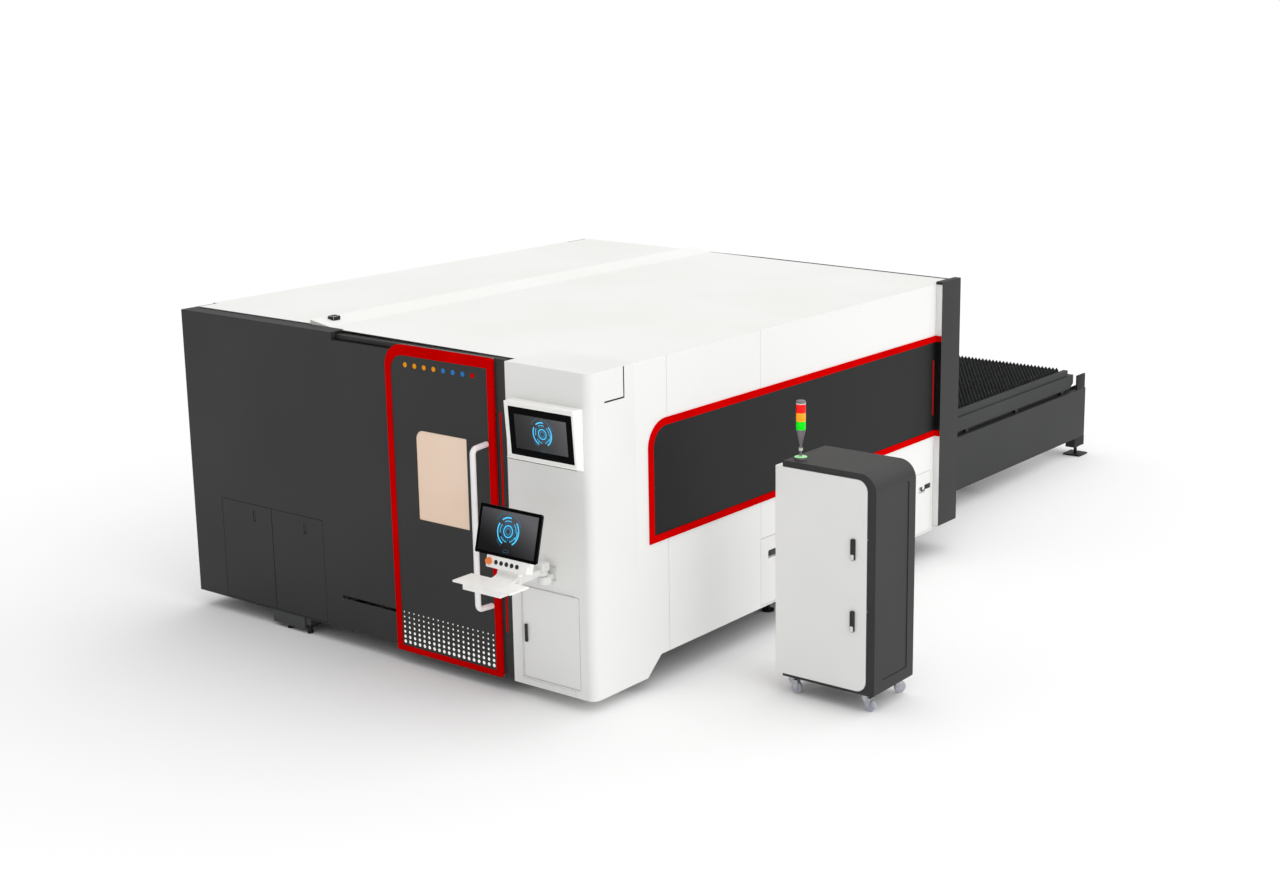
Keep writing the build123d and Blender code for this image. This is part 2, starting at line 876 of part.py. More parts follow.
def bed_frame():
    """Two box beams joined by cross beams, on a low sub-frame that also carries the left part."""
    sill = skirt_clearance + sheet + seat_gap
    y0 = bed_start
    y1 = bed_end
    frame = block(bed_left - bed_beam_width, bed_left, y0, y1, bed_beam_bottom, bed_beam_top)
    frame += block(bed_right, bed_right + bed_beam_width, y0, y1, bed_beam_bottom, bed_beam_top)
    for y in (y0, y1 - bed_beam_width / 2):
        frame += block(bed_left, bed_right, y, y + bed_beam_width / 2, bed_beam_bottom,
                       bed_beam_bottom + cross_height)
    inner = front + pan_depth + seat_gap
    edge = left + sheet + seat_gap
    frame += block(edge, left + surround_right - seat_gap, inner, inner + sill_width, sill,
                   sill + sill_height)
    frame += block(edge, edge + sill_width, inner, y1, sill, sill + sill_height)
    for x in (bed_left - bed_beam_width, left + surround_right - sill_width):
        frame += block(x, x + sill_width - seat_gap, inner, y0 + sill_width, sill, bed_beam_bottom + sheet)
    for y in (front + cabin_length / 3, y1 - sill_width):
        frame += block(edge, bed_left - bed_beam_width / 2, y, y + sill_width, sill, bed_beam_bottom + sheet)
    for x, side in ((bed_left, -1), (bed_right, 1)):
        reach = x - side * (deck_side)
        x0, x1 = sorted((x, reach))
        for z in (skirt_top, lower_track):
            frame += block(x0, x1, y0, y1, z - track_sheet, z)
        frame += tracks(reach, side, y0, y1)
    frame += block(left + beam_left, left + beam_right, front, front + beam_depth, beam_bottom,
                   skirt_clearance - seat_gap)
    frame += block(left + beam_left, left + beam_right, front + pan_depth + seat_gap, front + beam_depth,
                   skirt_clearance - 1, sill)
    frame += block(left + beam_right - 1, beam_ear, front + beam_ear / 3, front + beam_depth,
                   beam_ear_bottom, skirt_clearance - seat_gap)
    return frame


def levelling_feet():
    """Round pads on screws under the bed and the front beam, square plates at the far end."""
    feet = []
    places = [(left + beam_left + foot_spread, beam_bottom), (0, beam_ear_bottom)]
    for x, top in places:
        feet.append(foot(x, 0, top, pad_round) + tube_between((x, 0, pad_thickness / 2), (x, 0, top), foot_stem))
    y0 = bed_start + bed_beam_width
    y1 = bed_end - bed_beam_width
    for x in (bed_left - bed_beam_width / 2, bed_right + bed_beam_width / 2):
        for y in (y0, (y0 + y1) / 2, y1):
            feet.append(foot(x, y, bed_beam_bottom, 2 * pad_round))
    feet.append(foot(left + sheet + sill_width * 3 / 4, y1, skirt_clearance + sheet + seat_gap, 2 * pad_round))
    for x in (left + table_left + foot_inset, left + table_right - foot_inset):
        y = front + foot_line
        plate_part = block(x - pad_size / 2, x + pad_size / 2, y - pad_size / 2, y + pad_size / 2, 0,
                           pad_thickness)
        screw = tube_between((x, y, pad_thickness / 2), (x, y, bracket_bottom), foot_screw)
        nut = Pos(x, y, bracket_bottom - pad_thickness) * extrude(RegularPolygon(foot_screw * 1.8, 6), pad_thickness)
        feet.append(plate_part + screw + nut)
    return feet


def foot(x, y, top, radius):
    pad = tube_between((x, y, 0), (x, y, pad_thickness), radius)
    return pad + tube_between((x, y, pad_thickness / 2), (x, y, top), radius / 3)


def gantry_rails():
    rails = []
    for x in (bed_left - bed_beam_width / 2, bed_right + bed_beam_width / 2):
        rails.append(block(x - rail_section / 2, x + rail_section / 2, bed_start + seat_gap,
                           bed_end - seat_gap, bed_beam_top, bed_beam_top + rail_section))
    return rails


def gantry_beam():
    """Cross beam with a slotted shoe over each rail."""
    y0 = front + gantry_start
    y1 = y0 + gantry_depth
    x0 = bed_left - bed_beam_width
    x1 = bed_right + bed_beam_width
    beam = block(x0, x1, y0, y1, gantry_bottom, gantry_bottom + gantry_height)
    for x in (x0 + bed_beam_width / 2, x1 - bed_beam_width / 2):
        shoe = block(x - rail_section * 1.6, x + rail_section * 1.6, y0, y1, bed_beam_top + sheet, gantry_bottom)
        slot = block(x - rail_section / 2 - seat_gap, x + rail_section / 2 + seat_gap, y0 - 1, y1 + 1,
                     bed_beam_top, bed_beam_top + rail_section + seat_gap)
        beam += shoe - slot
    for z in (gantry_bottom + gantry_height / 4, gantry_bottom + gantry_height * 3 / 4):
        beam += block(x0 + bed_beam_width, x1 - bed_beam_width, y0 - rail_section / 2, y0,
                      z - rail_section / 2, z + rail_section / 2)
    return beam


head_x = left + head_from_left


def cross_carriage():
    """Plate that slides along the beam on two level guides."""
    y1 = front + gantry_start - seat_gap
    y0 = y1 - gantry_depth / 5
    z0 = gantry_bottom + 3 * seat_gap
    z1 = gantry_bottom + gantry_height
    body = block(head_x - carriage_width / 2, head_x + carriage_width / 2, y0, y1, z0, z1)
    for z in (gantry_bottom + gantry_height / 4, gantry_bottom + gantry_height * 3 / 4):
        body -= block(head_x - carriage_width, head_x + carriage_width, y1 - rail_section / 2 - seat_gap,
                      y1 + 1, z - rail_section / 2 - seat_gap, z + rail_section / 2 + seat_gap)
    return body


def cutting_head():
    """Slim head with a collar, a focus body and a tapered nozzle."""
    back = front + gantry_start - 2 * seat_gap - gantry_depth / 5
    y = back - head_size / 2
    top = gantry_bottom + gantry_height + gantry_depth / 2
    low = nozzle_level + head_size
    body = block(head_x - head_size / 2, head_x + head_size / 2, back - head_size, back, low + head_size, top)
    body += tube_between((head_x, y, low), (head_x, y, low + head_size + 1), head_size * 0.42)
    nozzle = Plane(origin=(head_x, y, nozzle_level + head_size / 2)) * Cone(nozzle_tip, head_size * 0.3, head_size)
    return body + nozzle


# Exchange table

table_start = bed_end + seat_gap


def exchange_frame():
    """Two deep skirts with pallet tracks, end posts, cross beams and corner brackets."""
    frame = Part()
    y0 = table_start
    y1 = front + table_end
    for x, side in ((left + table_left, -1), (left + table_right, 1)):
        x0, x1 = sorted((x, x - side * skirt_sheet))
        frame += block(x0, x1, y0, y1, skirt_bottom, skirt_top)
        x0, x1 = sorted((x, x - side * flange_width))
        frame += block(x0, x1, y0, y1, skirt_top - track_sheet, skirt_top)
        frame += block(x0, x1, y0, y1, lower_track - track_sheet, lower_track)
        frame += block(x0, x1, y0, y1, skirt_bottom, skirt_bottom + track_sheet)
        x0, x1 = sorted((x - side, x - side * stop_width))
        post_end = y1 - 20
        frame += block(x0, x1, post_end - stop_length, post_end, skirt_top, skirt_top + stop_height)
        x0, x1 = sorted((x - side * flange_width, x - side * (flange_width - guide_sheet)))
        frame += block(x0, x1, y0 + portal_depth + pan_depth, post_end, skirt_top, skirt_top + guide_height)
        x0, x1 = sorted((x - side, x - side * 2 * foot_inset))
        frame += block(x0, x1, front + foot_line - foot_bracket, front + foot_line + foot_bracket * 0.7,
                       bracket_bottom, skirt_bottom)
    low = skirt_bottom + track_sheet
    for y in (y0 + portal_depth + pan_depth, (y0 + y1) / 2, y1 - sill_width):
        frame += block(left + table_left + skirt_sheet, left + table_right - skirt_sheet, y, y + sill_width,
                       skirt_bottom, low + sill_width)
    return frame


def pallet_beam(x, side, drop):
    """Side beam of a pallet with its step, and the wheels under it."""
    y0 = front + pallet_start
    y1 = y0 + pallet_length
    foot_z = skirt_top + pallet_beam_bottom - drop
    top_z = skirt_top + pallet_top - drop
    step_z = skirt_top + pallet_step - drop
    lower = [(y0, foot_z), (y1 - 60, foot_z), (y1, foot_z + 40), (y1, step_z), (y0, step_z)]
    face = make_face(Polyline(*lower, close=True))
    x_out = x + side * pallet_beam_width / 2
    plane = facing_right(max(x_out, x_out - side * pallet_beam_width))
    beam = plate(plane, face, pallet_beam_width)
    ledge_x = sorted((x_out - side * pallet_ledge, x_out - side * pallet_beam_width))
    beam += block(ledge_x[0], ledge_x[1], y0, y1 - upper_setback, step_z, top_z)
    wheel_x = x + side * wheel_shift
    for n in range(wheel_count):
        y = y0 + 200 + n * (pallet_length - 400) / (wheel_count - 1)
        z = skirt_top - drop + wheel_radius + seat_gap
        x_a = wheel_x - wheel_width / 2
        beam += tube_between((x_a, y, z), (x_a + wheel_width, y, z), wheel_radius)
    return beam


def pallet_frame(drop):
    x_side = (table_right - table_left) / 2 - pallet_inset - pallet_beam_width / 2
    y0 = front + pallet_start
    y1 = y0 + pallet_length - upper_setback
    frame = pallet_beam(table_middle - x_side, -1, drop) + pallet_beam(table_middle + x_side, 1, drop)
    low = skirt_top + pallet_beam_bottom - drop
    x0 = table_middle - x_side
    x1 = table_middle + x_side
    for y in (y0, (y0 + y1) / 2, y1 - pallet_beam_width):
        frame += block(x0, x1, y, y + pallet_beam_width, low, low + pallet_beam_width)
    return frame


def slat_face(width, teeth):
    """Slat outline with a row of pointed teeth along its top."""
    pitch = width / teeth
    base = slat_height - tooth_depth
    points = [(-width / 2, 0), (-width / 2, base)]
    for n in range(teeth):
        start = -width / 2 + n * pitch
        points += [(start + pitch / 2, slat_height), (start + pitch, base)]
    points.append((width / 2, 0))
    return make_face(Polyline(*points, close=True))


def slats(drop, pitch, teeth):
    """Row of toothed slats that stand across a pallet."""
    width = table_right - table_left - 2 * (pallet_inset + pallet_beam_width)
    y0 = front + pallet_start + slat_start
    count = int((pallet_length - upper_setback - 2 * slat_start) / pitch) + 1
    face = slat_face(width, teeth)
    z = skirt_top + slat_tip - slat_height - drop
    blade = extrude(Plane(origin=(table_middle, 0, z), x_dir=(1, 0, 0), z_dir=(0, -1, 0)) * face, slat_thickness)
    return [Pos(0, y0 + n * pitch, 0) * blade for n in range(count)]


def outer_slats():
    rows = slats(0, slat_pitch, slat_teeth)
    width = table_right - table_left - 2 * (pallet_inset + pallet_beam_width)
    z = skirt_top + slat_tip - slat_height
    y0 = front + pallet_start + slat_start
    y1 = y0 + (len(rows) - 1) * slat_pitch
    rest = skirt_top + pallet_beam_bottom + pallet_beam_width
    grid = Part()
    for share in (-0.5, 0, 0.5):
        x = table_middle + share * (width - 2 * slat_bar)
        grid += block(x - slat_bar / 2, x + slat_bar / 2, y0 - slat_bar, y1 + slat_bar, rest,
                      z + slat_bar)
    for row in rows:
        grid += row
    return grid


def inner_pallet():
    frame = pallet_frame(deck_drop)
    width = table_right - table_left - 2 * (pallet_inset + pallet_beam_width)
    y0 = front + pallet_start + slat_start
    count = int((pallet_length - upper_setback - 2 * slat_start) / (2 * slat_pitch)) + 1
    z0 = skirt_top + pallet_beam_bottom - deck_drop
    z1 = skirt_top + slat_tip - slat_height - deck_drop
    for share in (-0.5, 0, 0.5):
        x = table_middle + share * (width - 2 * slat_bar)
        frame += block(x - slat_bar / 2, x + slat_bar / 2, y0 - slat_bar,
                       y0 + (count - 1) * 2 * slat_pitch + slat_bar, z0, z1 + slat_bar)
    for row in slats(deck_drop, 2 * slat_pitch, slat_teeth // 2):
        frame += row
    return Pos(0, -pallet_travel, 0) * frame


# Upper monitor

def monitor_housing():
    """Wedge housing whose face leans down towards the operator."""
    y = front
    points = [(y, monitor_heel), (y, monitor_top), (y - monitor_depth_top, monitor_top),
              (y - monitor_depth_bottom, monitor_bottom)]
    face = make_face(Polyline(*points, close=True))
    x1 = left + monitor_left + monitor_width
    housing = plate(facing_right(x1), face, monitor_width)
    edges = housing.edges().filter_by(Axis.X).sort_by(Axis.Y)[:2]
    housing = fillet(edges, monitor_edge)
    recess = outline(-seat_gap, screen_width + seat_gap, -seat_gap, screen_top - screen_bottom + seat_gap,
                     6, 6, 6, 6)
    return housing - plate(monitor_plane().offset(1), recess, monitor_face + 1 + seat_gap)


def monitor_plane():
    """Plane of the leaning face, its origin at the lower left corner of the screen."""
    rise = monitor_top - monitor_bottom
    out = monitor_depth_top - monitor_depth_bottom
    share = (screen_bottom - monitor_bottom) / rise
    y = front - monitor_depth_bottom - out * share
    length = hypot(rise, out)
    normal = (0, -rise / length, -out / length)
    return Plane(origin=(left + screen_left, y, screen_bottom), x_dir=(1, 0, 0), z_dir=normal)


def monitor_plate():
    face = outline(0, screen_width, 0, screen_top - screen_bottom, 6, 6, 6, 6)
    return plate(monitor_plane(), face, monitor_face)


# Arm and console

arm_x = left + arm_from_left
pivot_y = front - arm_pivot_out
link_low = arm_level - arm_height / 2
link_high = arm_level + arm_height / 2


def arm_bracket():
    """Wall bracket with a flange, a bored block and the pin that the link turns on."""
    flange = block(arm_x + flange_shift - arm_height * 0.7, arm_x + flange_shift + arm_height * 0.7,
                   front - 2 * sheet, front, arm_level - arm_height * 1.5, arm_level + arm_height * 0.6)
    body = block(arm_x - arm_barrel, arm_x + arm_barrel + flange_shift / 2, pivot_y, front - sheet,
                 link_low - arm_height * 0.8, link_low - seat_gap)
    body += tube_between((arm_x, pivot_y, link_low - arm_height * 0.8), (arm_x, pivot_y, link_low - seat_gap),
                         arm_barrel)
    pin = tube_between((arm_x, pivot_y, link_low - arm_height / 2), (arm_x, pivot_y, link_high - 2 * sheet),
                       arm_pin)
    return flange + body + pin


def arm_link():
    """Short link with a bored barrel over the bracket pin and its own pin at the other end."""
    far_y = pivot_y - arm_length
    link = tube_between((arm_x, pivot_y, link_low), (arm_x, pivot_y, link_high), arm_barrel)
    link += block(arm_x - arm_barrel * 0.8, arm_x + arm_barrel * 0.8, far_y, pivot_y, link_low + sheet,
                  link_high - sheet)
    link += tube_between((arm_x, far_y, link_low), (arm_x, far_y, link_high), arm_barrel)
    link += tube_between((arm_x, far_y, link_high), (arm_x, far_y, link_high + arm_height / 2), arm_pin)
    bore = tube_between((arm_x, pivot_y, link_low - 1), (arm_x, pivot_y, link_high - 2 * sheet + seat_gap),
                        arm_pin + running_gap)
    return link - bore


shelf_left = left + console_from_left + 3
shelf_back = front - shelf_back_out
shelf_front = shelf_back - shelf_depth
head_foot_y = front - console_foot_out
neck_y = head_foot_y + neck_setback
neck_top = console_foot_level - strip_height / 2


def console_stand():
    """Keyboard shelf with its shallow box, curved neck and the hub that turns on the link."""
    shelf = extrude(Plane(origin=(0, 0, shelf_level - shelf_thickness)) *
                    outline(shelf_left, shelf_left + shelf_width, shelf_front, shelf_back, 4, 4, 4, 4),
                    shelf_thickness)
    middle = shelf_left + shelf_width / 2
    shelf += block(middle - shelf_box_width / 2, middle + shelf_box_width / 2, shelf_front + 4,
                   shelf_back, shelf_level - shelf_thickness - shelf_box_height,
                   shelf_level - shelf_thickness)
    far_y = pivot_y - arm_length
    hub_low = link_high + seat_gap
    hub_high = hub_low + arm_height
    hub = tube_between((arm_x, far_y, hub_low), (arm_x, far_y, hub_high), arm_barrel)
    hub += block(arm_x - arm_barrel, arm_x + arm_barrel, shelf_back - neck_sheet, far_y, hub_low,
                 shelf_level)
    bore = tube_between((arm_x, far_y, hub_low - 1), (arm_x, far_y, link_high + arm_height / 2 + seat_gap),
                        arm_pin + running_gap)
    low_z = shelf_level - shelf_thickness
    low_y = shelf_back - neck_sheet
    bend_z = shelf_level + neck_rise
    outer = Bezier((neck_y, bend_z), (neck_y, low_z), (low_y, low_z))
    inner = Bezier((neck_y - neck_sheet, bend_z), (neck_y - neck_sheet, shelf_level + sheet),
                   (low_y, shelf_level + sheet))
    sides = [Line((neck_y, bend_z), (neck_y, neck_top)), Line((neck_y, neck_top), (neck_y - neck_sheet, neck_top)),
             Line((neck_y - neck_sheet, neck_top), (neck_y - neck_sheet, bend_z)),
             Line((low_y, low_z), (low_y, shelf_level + sheet))]
    face = make_face([outer, inner] + sides)
    neck = plate(facing_right(arm_x + neck_width / 2), face, neck_width)
    return shelf + neck + hub - bore


def console_plane(u=0, v=0, out=0):
    """Plane of the screen face, with its origin moved along the face and outwards from it."""
    lean = radians(console_lean)
    y = head_foot_y + v * sin(lean) - out * cos(lean)
    z = console_foot_level + v * cos(lean) + out * sin(lean)
    return Plane(origin=(left + console_from_left + u, y, z), x_dir=(1, 0, 0),
                 z_dir=(0, -cos(lean), sin(lean)))


def console_screen():
    face = outline(0, console_width, 0, console_screen_height, 8, 8, 8, 8)
    return plate(console_plane(), face, console_face)


def console_head():
    """Back shell of the screen with the button box below it."""
    back = outline(4, console_width - 4, 4, console_screen_height - 4, 12, 12, 12, 12)
    shell = extrude(console_plane(out=-console_face - seat_gap) * back, -(console_thickness - console_face),
                    taper=20)
    strip = outline(strip_inset, strip_inset + strip_width, -strip_height, -seat_gap, 3, 3, 10, 10)
    box = plate(console_plane(out=-2), strip, strip_thickness)
    join = outline(strip_inset + 20, strip_inset + strip_width - 20, -strip_height / 2, 60)
    box += plate(console_plane(out=-console_face - 2 * sheet), join, console_thickness - console_face - 2 * sheet)
    head = shell + box
    stem, bore = stop_button_parts()
    head -= bore
    for n in range(5):
        cap, hole = push_button_parts(n)
        head -= hole
    cut = block(arm_x - neck_width / 2 - seat_gap, arm_x + neck_width / 2 + seat_gap,
                neck_y - neck_sheet - seat_gap, neck_y + seat_gap, shelf_level, neck_top + seat_gap)
    return head - cut


button_v = -strip_height / 2


def stop_button_parts():
    """Mushroom button and the bore for its stem."""
    u = strip_inset + stop_button_offset
    plane = console_plane(u, button_v, -2)
    cap = extrude(plane.offset(stop_travel + seat_gap) * Circle(stop_button_radius), 14, taper=12)
    stem = extrude(plane.offset(stop_travel + seat_gap) * Circle(9), -20)
    bore = extrude(plane.offset(1) * Circle(9 + running_gap), -26)
    return cap + stem, bore


def push_button_parts(n):
    """Round push button and its stepped bore."""
    u = strip_inset + first_button_offset + n * button_pitch
    plane = console_plane(u, button_v, -2)
    cap = extrude(plane.offset(button_travel + 1) * Circle(button_radius), -(button_travel + 13))
    bore = extrude(plane.offset(1) * Circle(button_radius + running_gap), -(button_travel + 16))
    return cap, bore


# Laser cabinet

box_left = left + cabinet_left
box_front = front + cabinet_front


def cabinet_profile(inset=0):
    x0 = box_left + cabinet_inset + inset
    x1 = box_left + cabinet_width - inset
    return outline(x0, x1, cabinet_bottom + inset, cabinet_top - inset, top_left=12, top_right=cabinet_corner - inset,
                   bottom_right=18, bottom_left=6)


cabinet_hinge_x = box_left + cabinet_hinge_in
cabinet_hinge_y = box_front + cabinet_return_depth - cabinet_hinge_in


def cabinet_hinge(radius, extra):
    low = (cabinet_hinge_x, cabinet_hinge_y, cabinet_door_bottom + sheet)
    high = (cabinet_hinge_x, cabinet_hinge_y, cabinet_door_top - sheet)
    reach = door_gap + hinge_lug - 2 + extra
    lower = tube_between(low, (low[0], low[1], cabinet_door_bottom - reach), radius)
    upper = tube_between(high, (high[0], high[1], cabinet_door_top + reach), radius)
    return lower + upper


def cabinet_body():
    """Folded cabinet with one large rounded edge, a front opening and a shallow side recess."""
    body = extrude(facing_front(box_front) * cabinet_profile(), -cabinet_depth)
    pocket_y = box_front + cabinet_door_thickness + door_gap
    front_web = pocket_y + 2 * cabinet_wall
    inner = outline(box_left + cabinet_inset + cabinet_wall, box_left + cabinet_width - cabinet_wall,
                    cabinet_bottom + cabinet_wall, cabinet_top - cabinet_wall,
                    top_right=cabinet_corner - cabinet_wall)
    depth = box_front + cabinet_depth - cabinet_wall - front_web
    body -= extrude(facing_front(front_web) * inner, -depth)
    z0 = cabinet_door_bottom
    z1 = cabinet_door_top
    pocket = outline(box_left - 20, box_left + cabinet_door_right + door_gap, z0 - door_gap, z1 + door_gap,
                     top_right=cabinet_door_corner + door_gap, bottom_right=cabinet_door_corner + door_gap)
    body -= extrude(facing_front(box_front - 1) * pocket, -(cabinet_door_thickness + door_gap + 1))
    mouth = outline(box_left + cabinet_inset + 2 * cabinet_wall, box_left + cabinet_door_right - cabinet_wall,
                    z0 + cabinet_wall, z1 - cabinet_wall, top_right=cabinet_door_corner,
                    bottom_right=cabinet_door_corner)
    body -= extrude(facing_front(pocket_y - 1) * mouth, -(2 * cabinet_wall + 2))
    recess = outline(box_front + recess_front, box_front + cabinet_depth - recess_back, recess_bottom,
                     recess_top, 14, 14, 14, 14)
    body -= plate(facing_right(box_left + cabinet_width), recess, recess_depth)
    for x, y, turn in caster_places():
        body -= tube_between((x, y, cabinet_bottom - 1), (x, y, cabinet_bottom + caster_stem_length + 1),
                             caster_stem + running_gap)
    for low in (z0 - door_gap - hinge_lug, z1 + door_gap):
        body += block(box_left + 1, box_left + cabinet_inset + sheet, cabinet_hinge_y - hinge_lug,
                      cabinet_hinge_y + hinge_lug, low, low + hinge_lug)
    return body - cabinet_hinge(hinge_pin * 2 + running_gap, 1)


def cabinet_door():
    z0 = cabinet_door_bottom
    z1 = cabinet_door_top
    face = outline(box_left, box_left + cabinet_door_right, z0, z1, top_right=cabinet_door_corner,
                   bottom_right=cabinet_door_corner)
    door = plate(facing_front(box_front), face, cabinet_door_thickness)
    door += block(box_left, box_left + cabinet_return, box_front, box_front + cabinet_return_depth, z0, z1)
    edge = door.edges().filter_by(Axis.Z).sort_by_distance((box_left, box_front, (z0 + z1) / 2))[0]
    door = fillet(edge, cabinet_door_thickness * 0.36)
    for level in (lever_upper, lever_lower):
        x, z = lever_axis(level)
        door -= tube_between((x, box_front - 1, z), (x, box_front + cabinet_door_thickness + 1, z),
                             lever_spindle + running_gap)
    return door + cabinet_hinge(hinge_pin * 2, 0)


def lever_axis(level):
    return box_left + cabinet_width - lever_from_right, level - lever_length / 2 + lever_width / 2


def cabinet_lever(level):
    """Flat lever with a round lock at its foot, on a spindle through the door."""
    x, z = lever_axis(level)
    face = outline(x - lever_width / 2, x + lever_width / 2, level - lever_length / 2, level + lever_length / 2,
                   8, 8, 12, 12)
    lever = plate(facing_front(box_front - seat_gap - lever_thickness), face, lever_thickness)
    edges = lever.faces().sort_by(Axis.Y)[0].edges()
    lever = fillet(edges, sheet)
    key = tube_between((x, box_front - lever_thickness, z), (x, box_front - lever_thickness - sheet, z),
                       lever_width / 3)
    spindle = tube_between((x, box_front - lever_thickness / 2, z),
                           (x, box_front + cabinet_door_thickness - 2, z), lever_spindle)
    return lever + key + spindle


def laser_source():
    """Rack unit that stands on the cabinet floor, with a ribbed cooling block on top."""
    x0 = box_left + 2 * cabinet_wall + 60
    x1 = x0 + source_width
    y1 = box_front + cabinet_depth - cabinet_wall - 20
    y0 = y1 - source_depth
    z0 = cabinet_bottom + cabinet_wall
    unit = block(x0, x1, y0, y1, z0, z0 + source_height)
    for n in range(1, 6):
        x = x0 + n * source_width / 6
        unit -= block(x - 12, x + 12, y0 - 1, y1 + 1, z0 + source_height - 60, z0 + source_height + 1)
    return unit


lamp_x = box_left + lamp_from_left
lamp_y = box_front + lamp_from_front
lens_bottom = cabinet_top + lamp_base + lamp_cone_height


def stack_light_post():
    """Base disc, tapered neck, inner rod and cap."""
    z = cabinet_top
    post = tube_between((lamp_x, lamp_y, z), (lamp_x, lamp_y, z + lamp_base), lamp_base_radius)
    neck = tube_between((lamp_x, lamp_y, z), (lamp_x, lamp_y, z + lamp_base + lamp_stem_height + 1), lamp_stem)
    cone = lamp_cone_height - lamp_stem_height
    neck += Plane(origin=(lamp_x, lamp_y, lens_bottom - cone / 2)) * Cone(lamp_stem, lamp_radius, cone)
    top = lens_bottom + 3 * lamp_lens_height
    rod = tube_between((lamp_x, lamp_y, lens_bottom - 1), (lamp_x, lamp_y, top + 1), lamp_rod)
    cap = tube_between((lamp_x, lamp_y, top), (lamp_x, lamp_y, top + lamp_cap), lamp_radius)
    cap = fillet(cap.edges().sort_by(Axis.Z)[-1], lamp_cap / 3)
    return post + neck + rod + cap


def stack_lens(n):
    z = lens_bottom + n * lamp_lens_height
    lens = tube_between((lamp_x, lamp_y, z), (lamp_x, lamp_y, z + lamp_lens_height), lamp_radius)
    return lens - tube_between((lamp_x, lamp_y, z - 1), (lamp_x, lamp_y, z + lamp_lens_height + 1),
                               lamp_rod + seat_gap)


def caster_places():
    """Swivel axis and heading of each caster."""
    x0 = box_left + caster_inset_x
    x1 = box_left + cabinet_width - caster_inset_x
    y0 = box_front + caster_inset_y
    y1 = box_front + cabinet_depth - caster_inset_y
    return [(x0, y0, 0), (x1, y0, 0), (x0, y1, 0), (x1, y1, rear_caster_turn)]


def caster_fork(n):
    """Swivel fork with its stem, crown, two cheeks and axle."""
    x, y, turn = caster_places()[n]
    top = cabinet_bottom - seat_gap
    half = caster_wheel_width / 2 + 1
    crown_low = 2 * caster_wheel + sheet
    fork = tube_between((0, 0, crown_low), (0, 0, top), 24)
    fork += tube_between((0, 0, top - 1), (0, 0, cabinet_bottom + caster_stem_length), caster_stem)
    fork += block(-20, caster_trail + 12, -half - caster_cheek, half + caster_cheek, crown_low, crown_low + 8)
    cheek = make_face(Polyline((-16, crown_low + 1), (caster_trail + 12, crown_low + 1),
                               (caster_trail + 9, caster_wheel - 9), (caster_trail - 9, caster_wheel - 9),
                               close=True))
    for side in (-1, 1):
        plane = Plane(origin=(0, side * (half + caster_cheek / 2), 0), x_dir=(1, 0, 0), z_dir=(0, -1, 0))
        fork += extrude(plane * cheek, caster_cheek / 2, both=True)
    fork += tube_between((caster_trail, -half - 1, caster_wheel), (caster_trail, half + 1, caster_wheel),
                         caster_axle)
    return Pos(x, y, 0) * Rot(0, 0, turn) * fork


def caster_roller(n):
    x, y, turn = caster_places()[n]
    half = caster_wheel_width / 2
    wheel = tube_between((caster_trail, -half, caster_wheel), (caster_trail, half, caster_wheel), caster_wheel)
    wheel = fillet(wheel.edges().filter_by(GeomType.CIRCLE), 5)
    wheel -= tube_between((caster_trail, -half - 1, caster_wheel), (caster_trail, half + 1, caster_wheel),
                          caster_axle + running_gap)
    return Pos(x, y, 0) * Rot(0, 0, turn) * wheel


# Build and write every piece

os.makedirs("parts", exist_ok=True)

save(front_cover(), "front_left_cover")
save(hatch(1), "front_access_door_left")
save(hatch(2), "front_access_door_right")
save(surround(), "door_surround")
save(sliding_door(), "sliding_door")
save(door_liner(), "door_liner")
save(door_trim(), "door_red_frame")
save(door_window(), "door_window")
save(door_grip(), "door_handle")
save(left_shell(), "left_shell")
save(right_roof(), "right_roof_panel")
save(operator_column(), "operator_column")
save(column_door(), "column_door")
save(side_skin(), "right_side_panel")
save(side_band(), "side_band_panel")
save(side_band_trim(), "side_band_frame")
save(side_door(1), "side_access_door_front")
save(side_door(2), "side_access_door_rear")
save(rear_portal(), "rear_portal")
save(rear_shutter(), "rear_shutter")
save(bed_frame(), "bed_frame")
save(Compound(children=levelling_feet()), "levelling_feet")
save(Compound(children=gantry_rails()), "gantry_rails")
save(gantry_beam(), "gantry_beam")
save(cross_carriage(), "cross_carriage")
save(cutting_head(), "cutting_head")
save(exchange_frame(), "exchange_frame")
save(pallet_frame(0), "outer_pallet")
save(outer_slats(), "outer_slats")
save(inner_pallet(), "inner_pallet")
save(monitor_housing(), "monitor_housing")
save(monitor_plate(), "monitor_screen")
save(arm_bracket(), "arm_bracket")
save(arm_link(), "arm_link")
save(console_stand(), "console_stand")
save(console_head(), "console_head")
save(console_screen(), "console_screen")
save(stop_button_parts()[0], "stop_button")
for index in range(5):
    save(push_button_parts(index)[0], f"push_button_{index + 1}")
save(cabinet_body(), "cabinet_body")
save(cabinet_door(), "cabinet_door")
save(cabinet_lever(lever_upper), "cabinet_lock_upper")
save(cabinet_lever(lever_lower), "cabinet_lock_lower")
save(laser_source(), "laser_source")
save(stack_light_post(), "stack_light_post")
save(stack_lens(0), "stack_lens_green")
save(stack_lens(1), "stack_lens_amber")
save(stack_lens(2), "stack_lens_red")
for index in range(4):
    save(caster_fork(index), f"caster_fork_{index + 1}")
    save(caster_roller(index), f"caster_wheel_{index + 1}")
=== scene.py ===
import math

import bmesh
import bpy
from bpy.props import FloatProperty, FloatVectorProperty, PointerProperty
from mathutils import Euler, Matrix, Vector


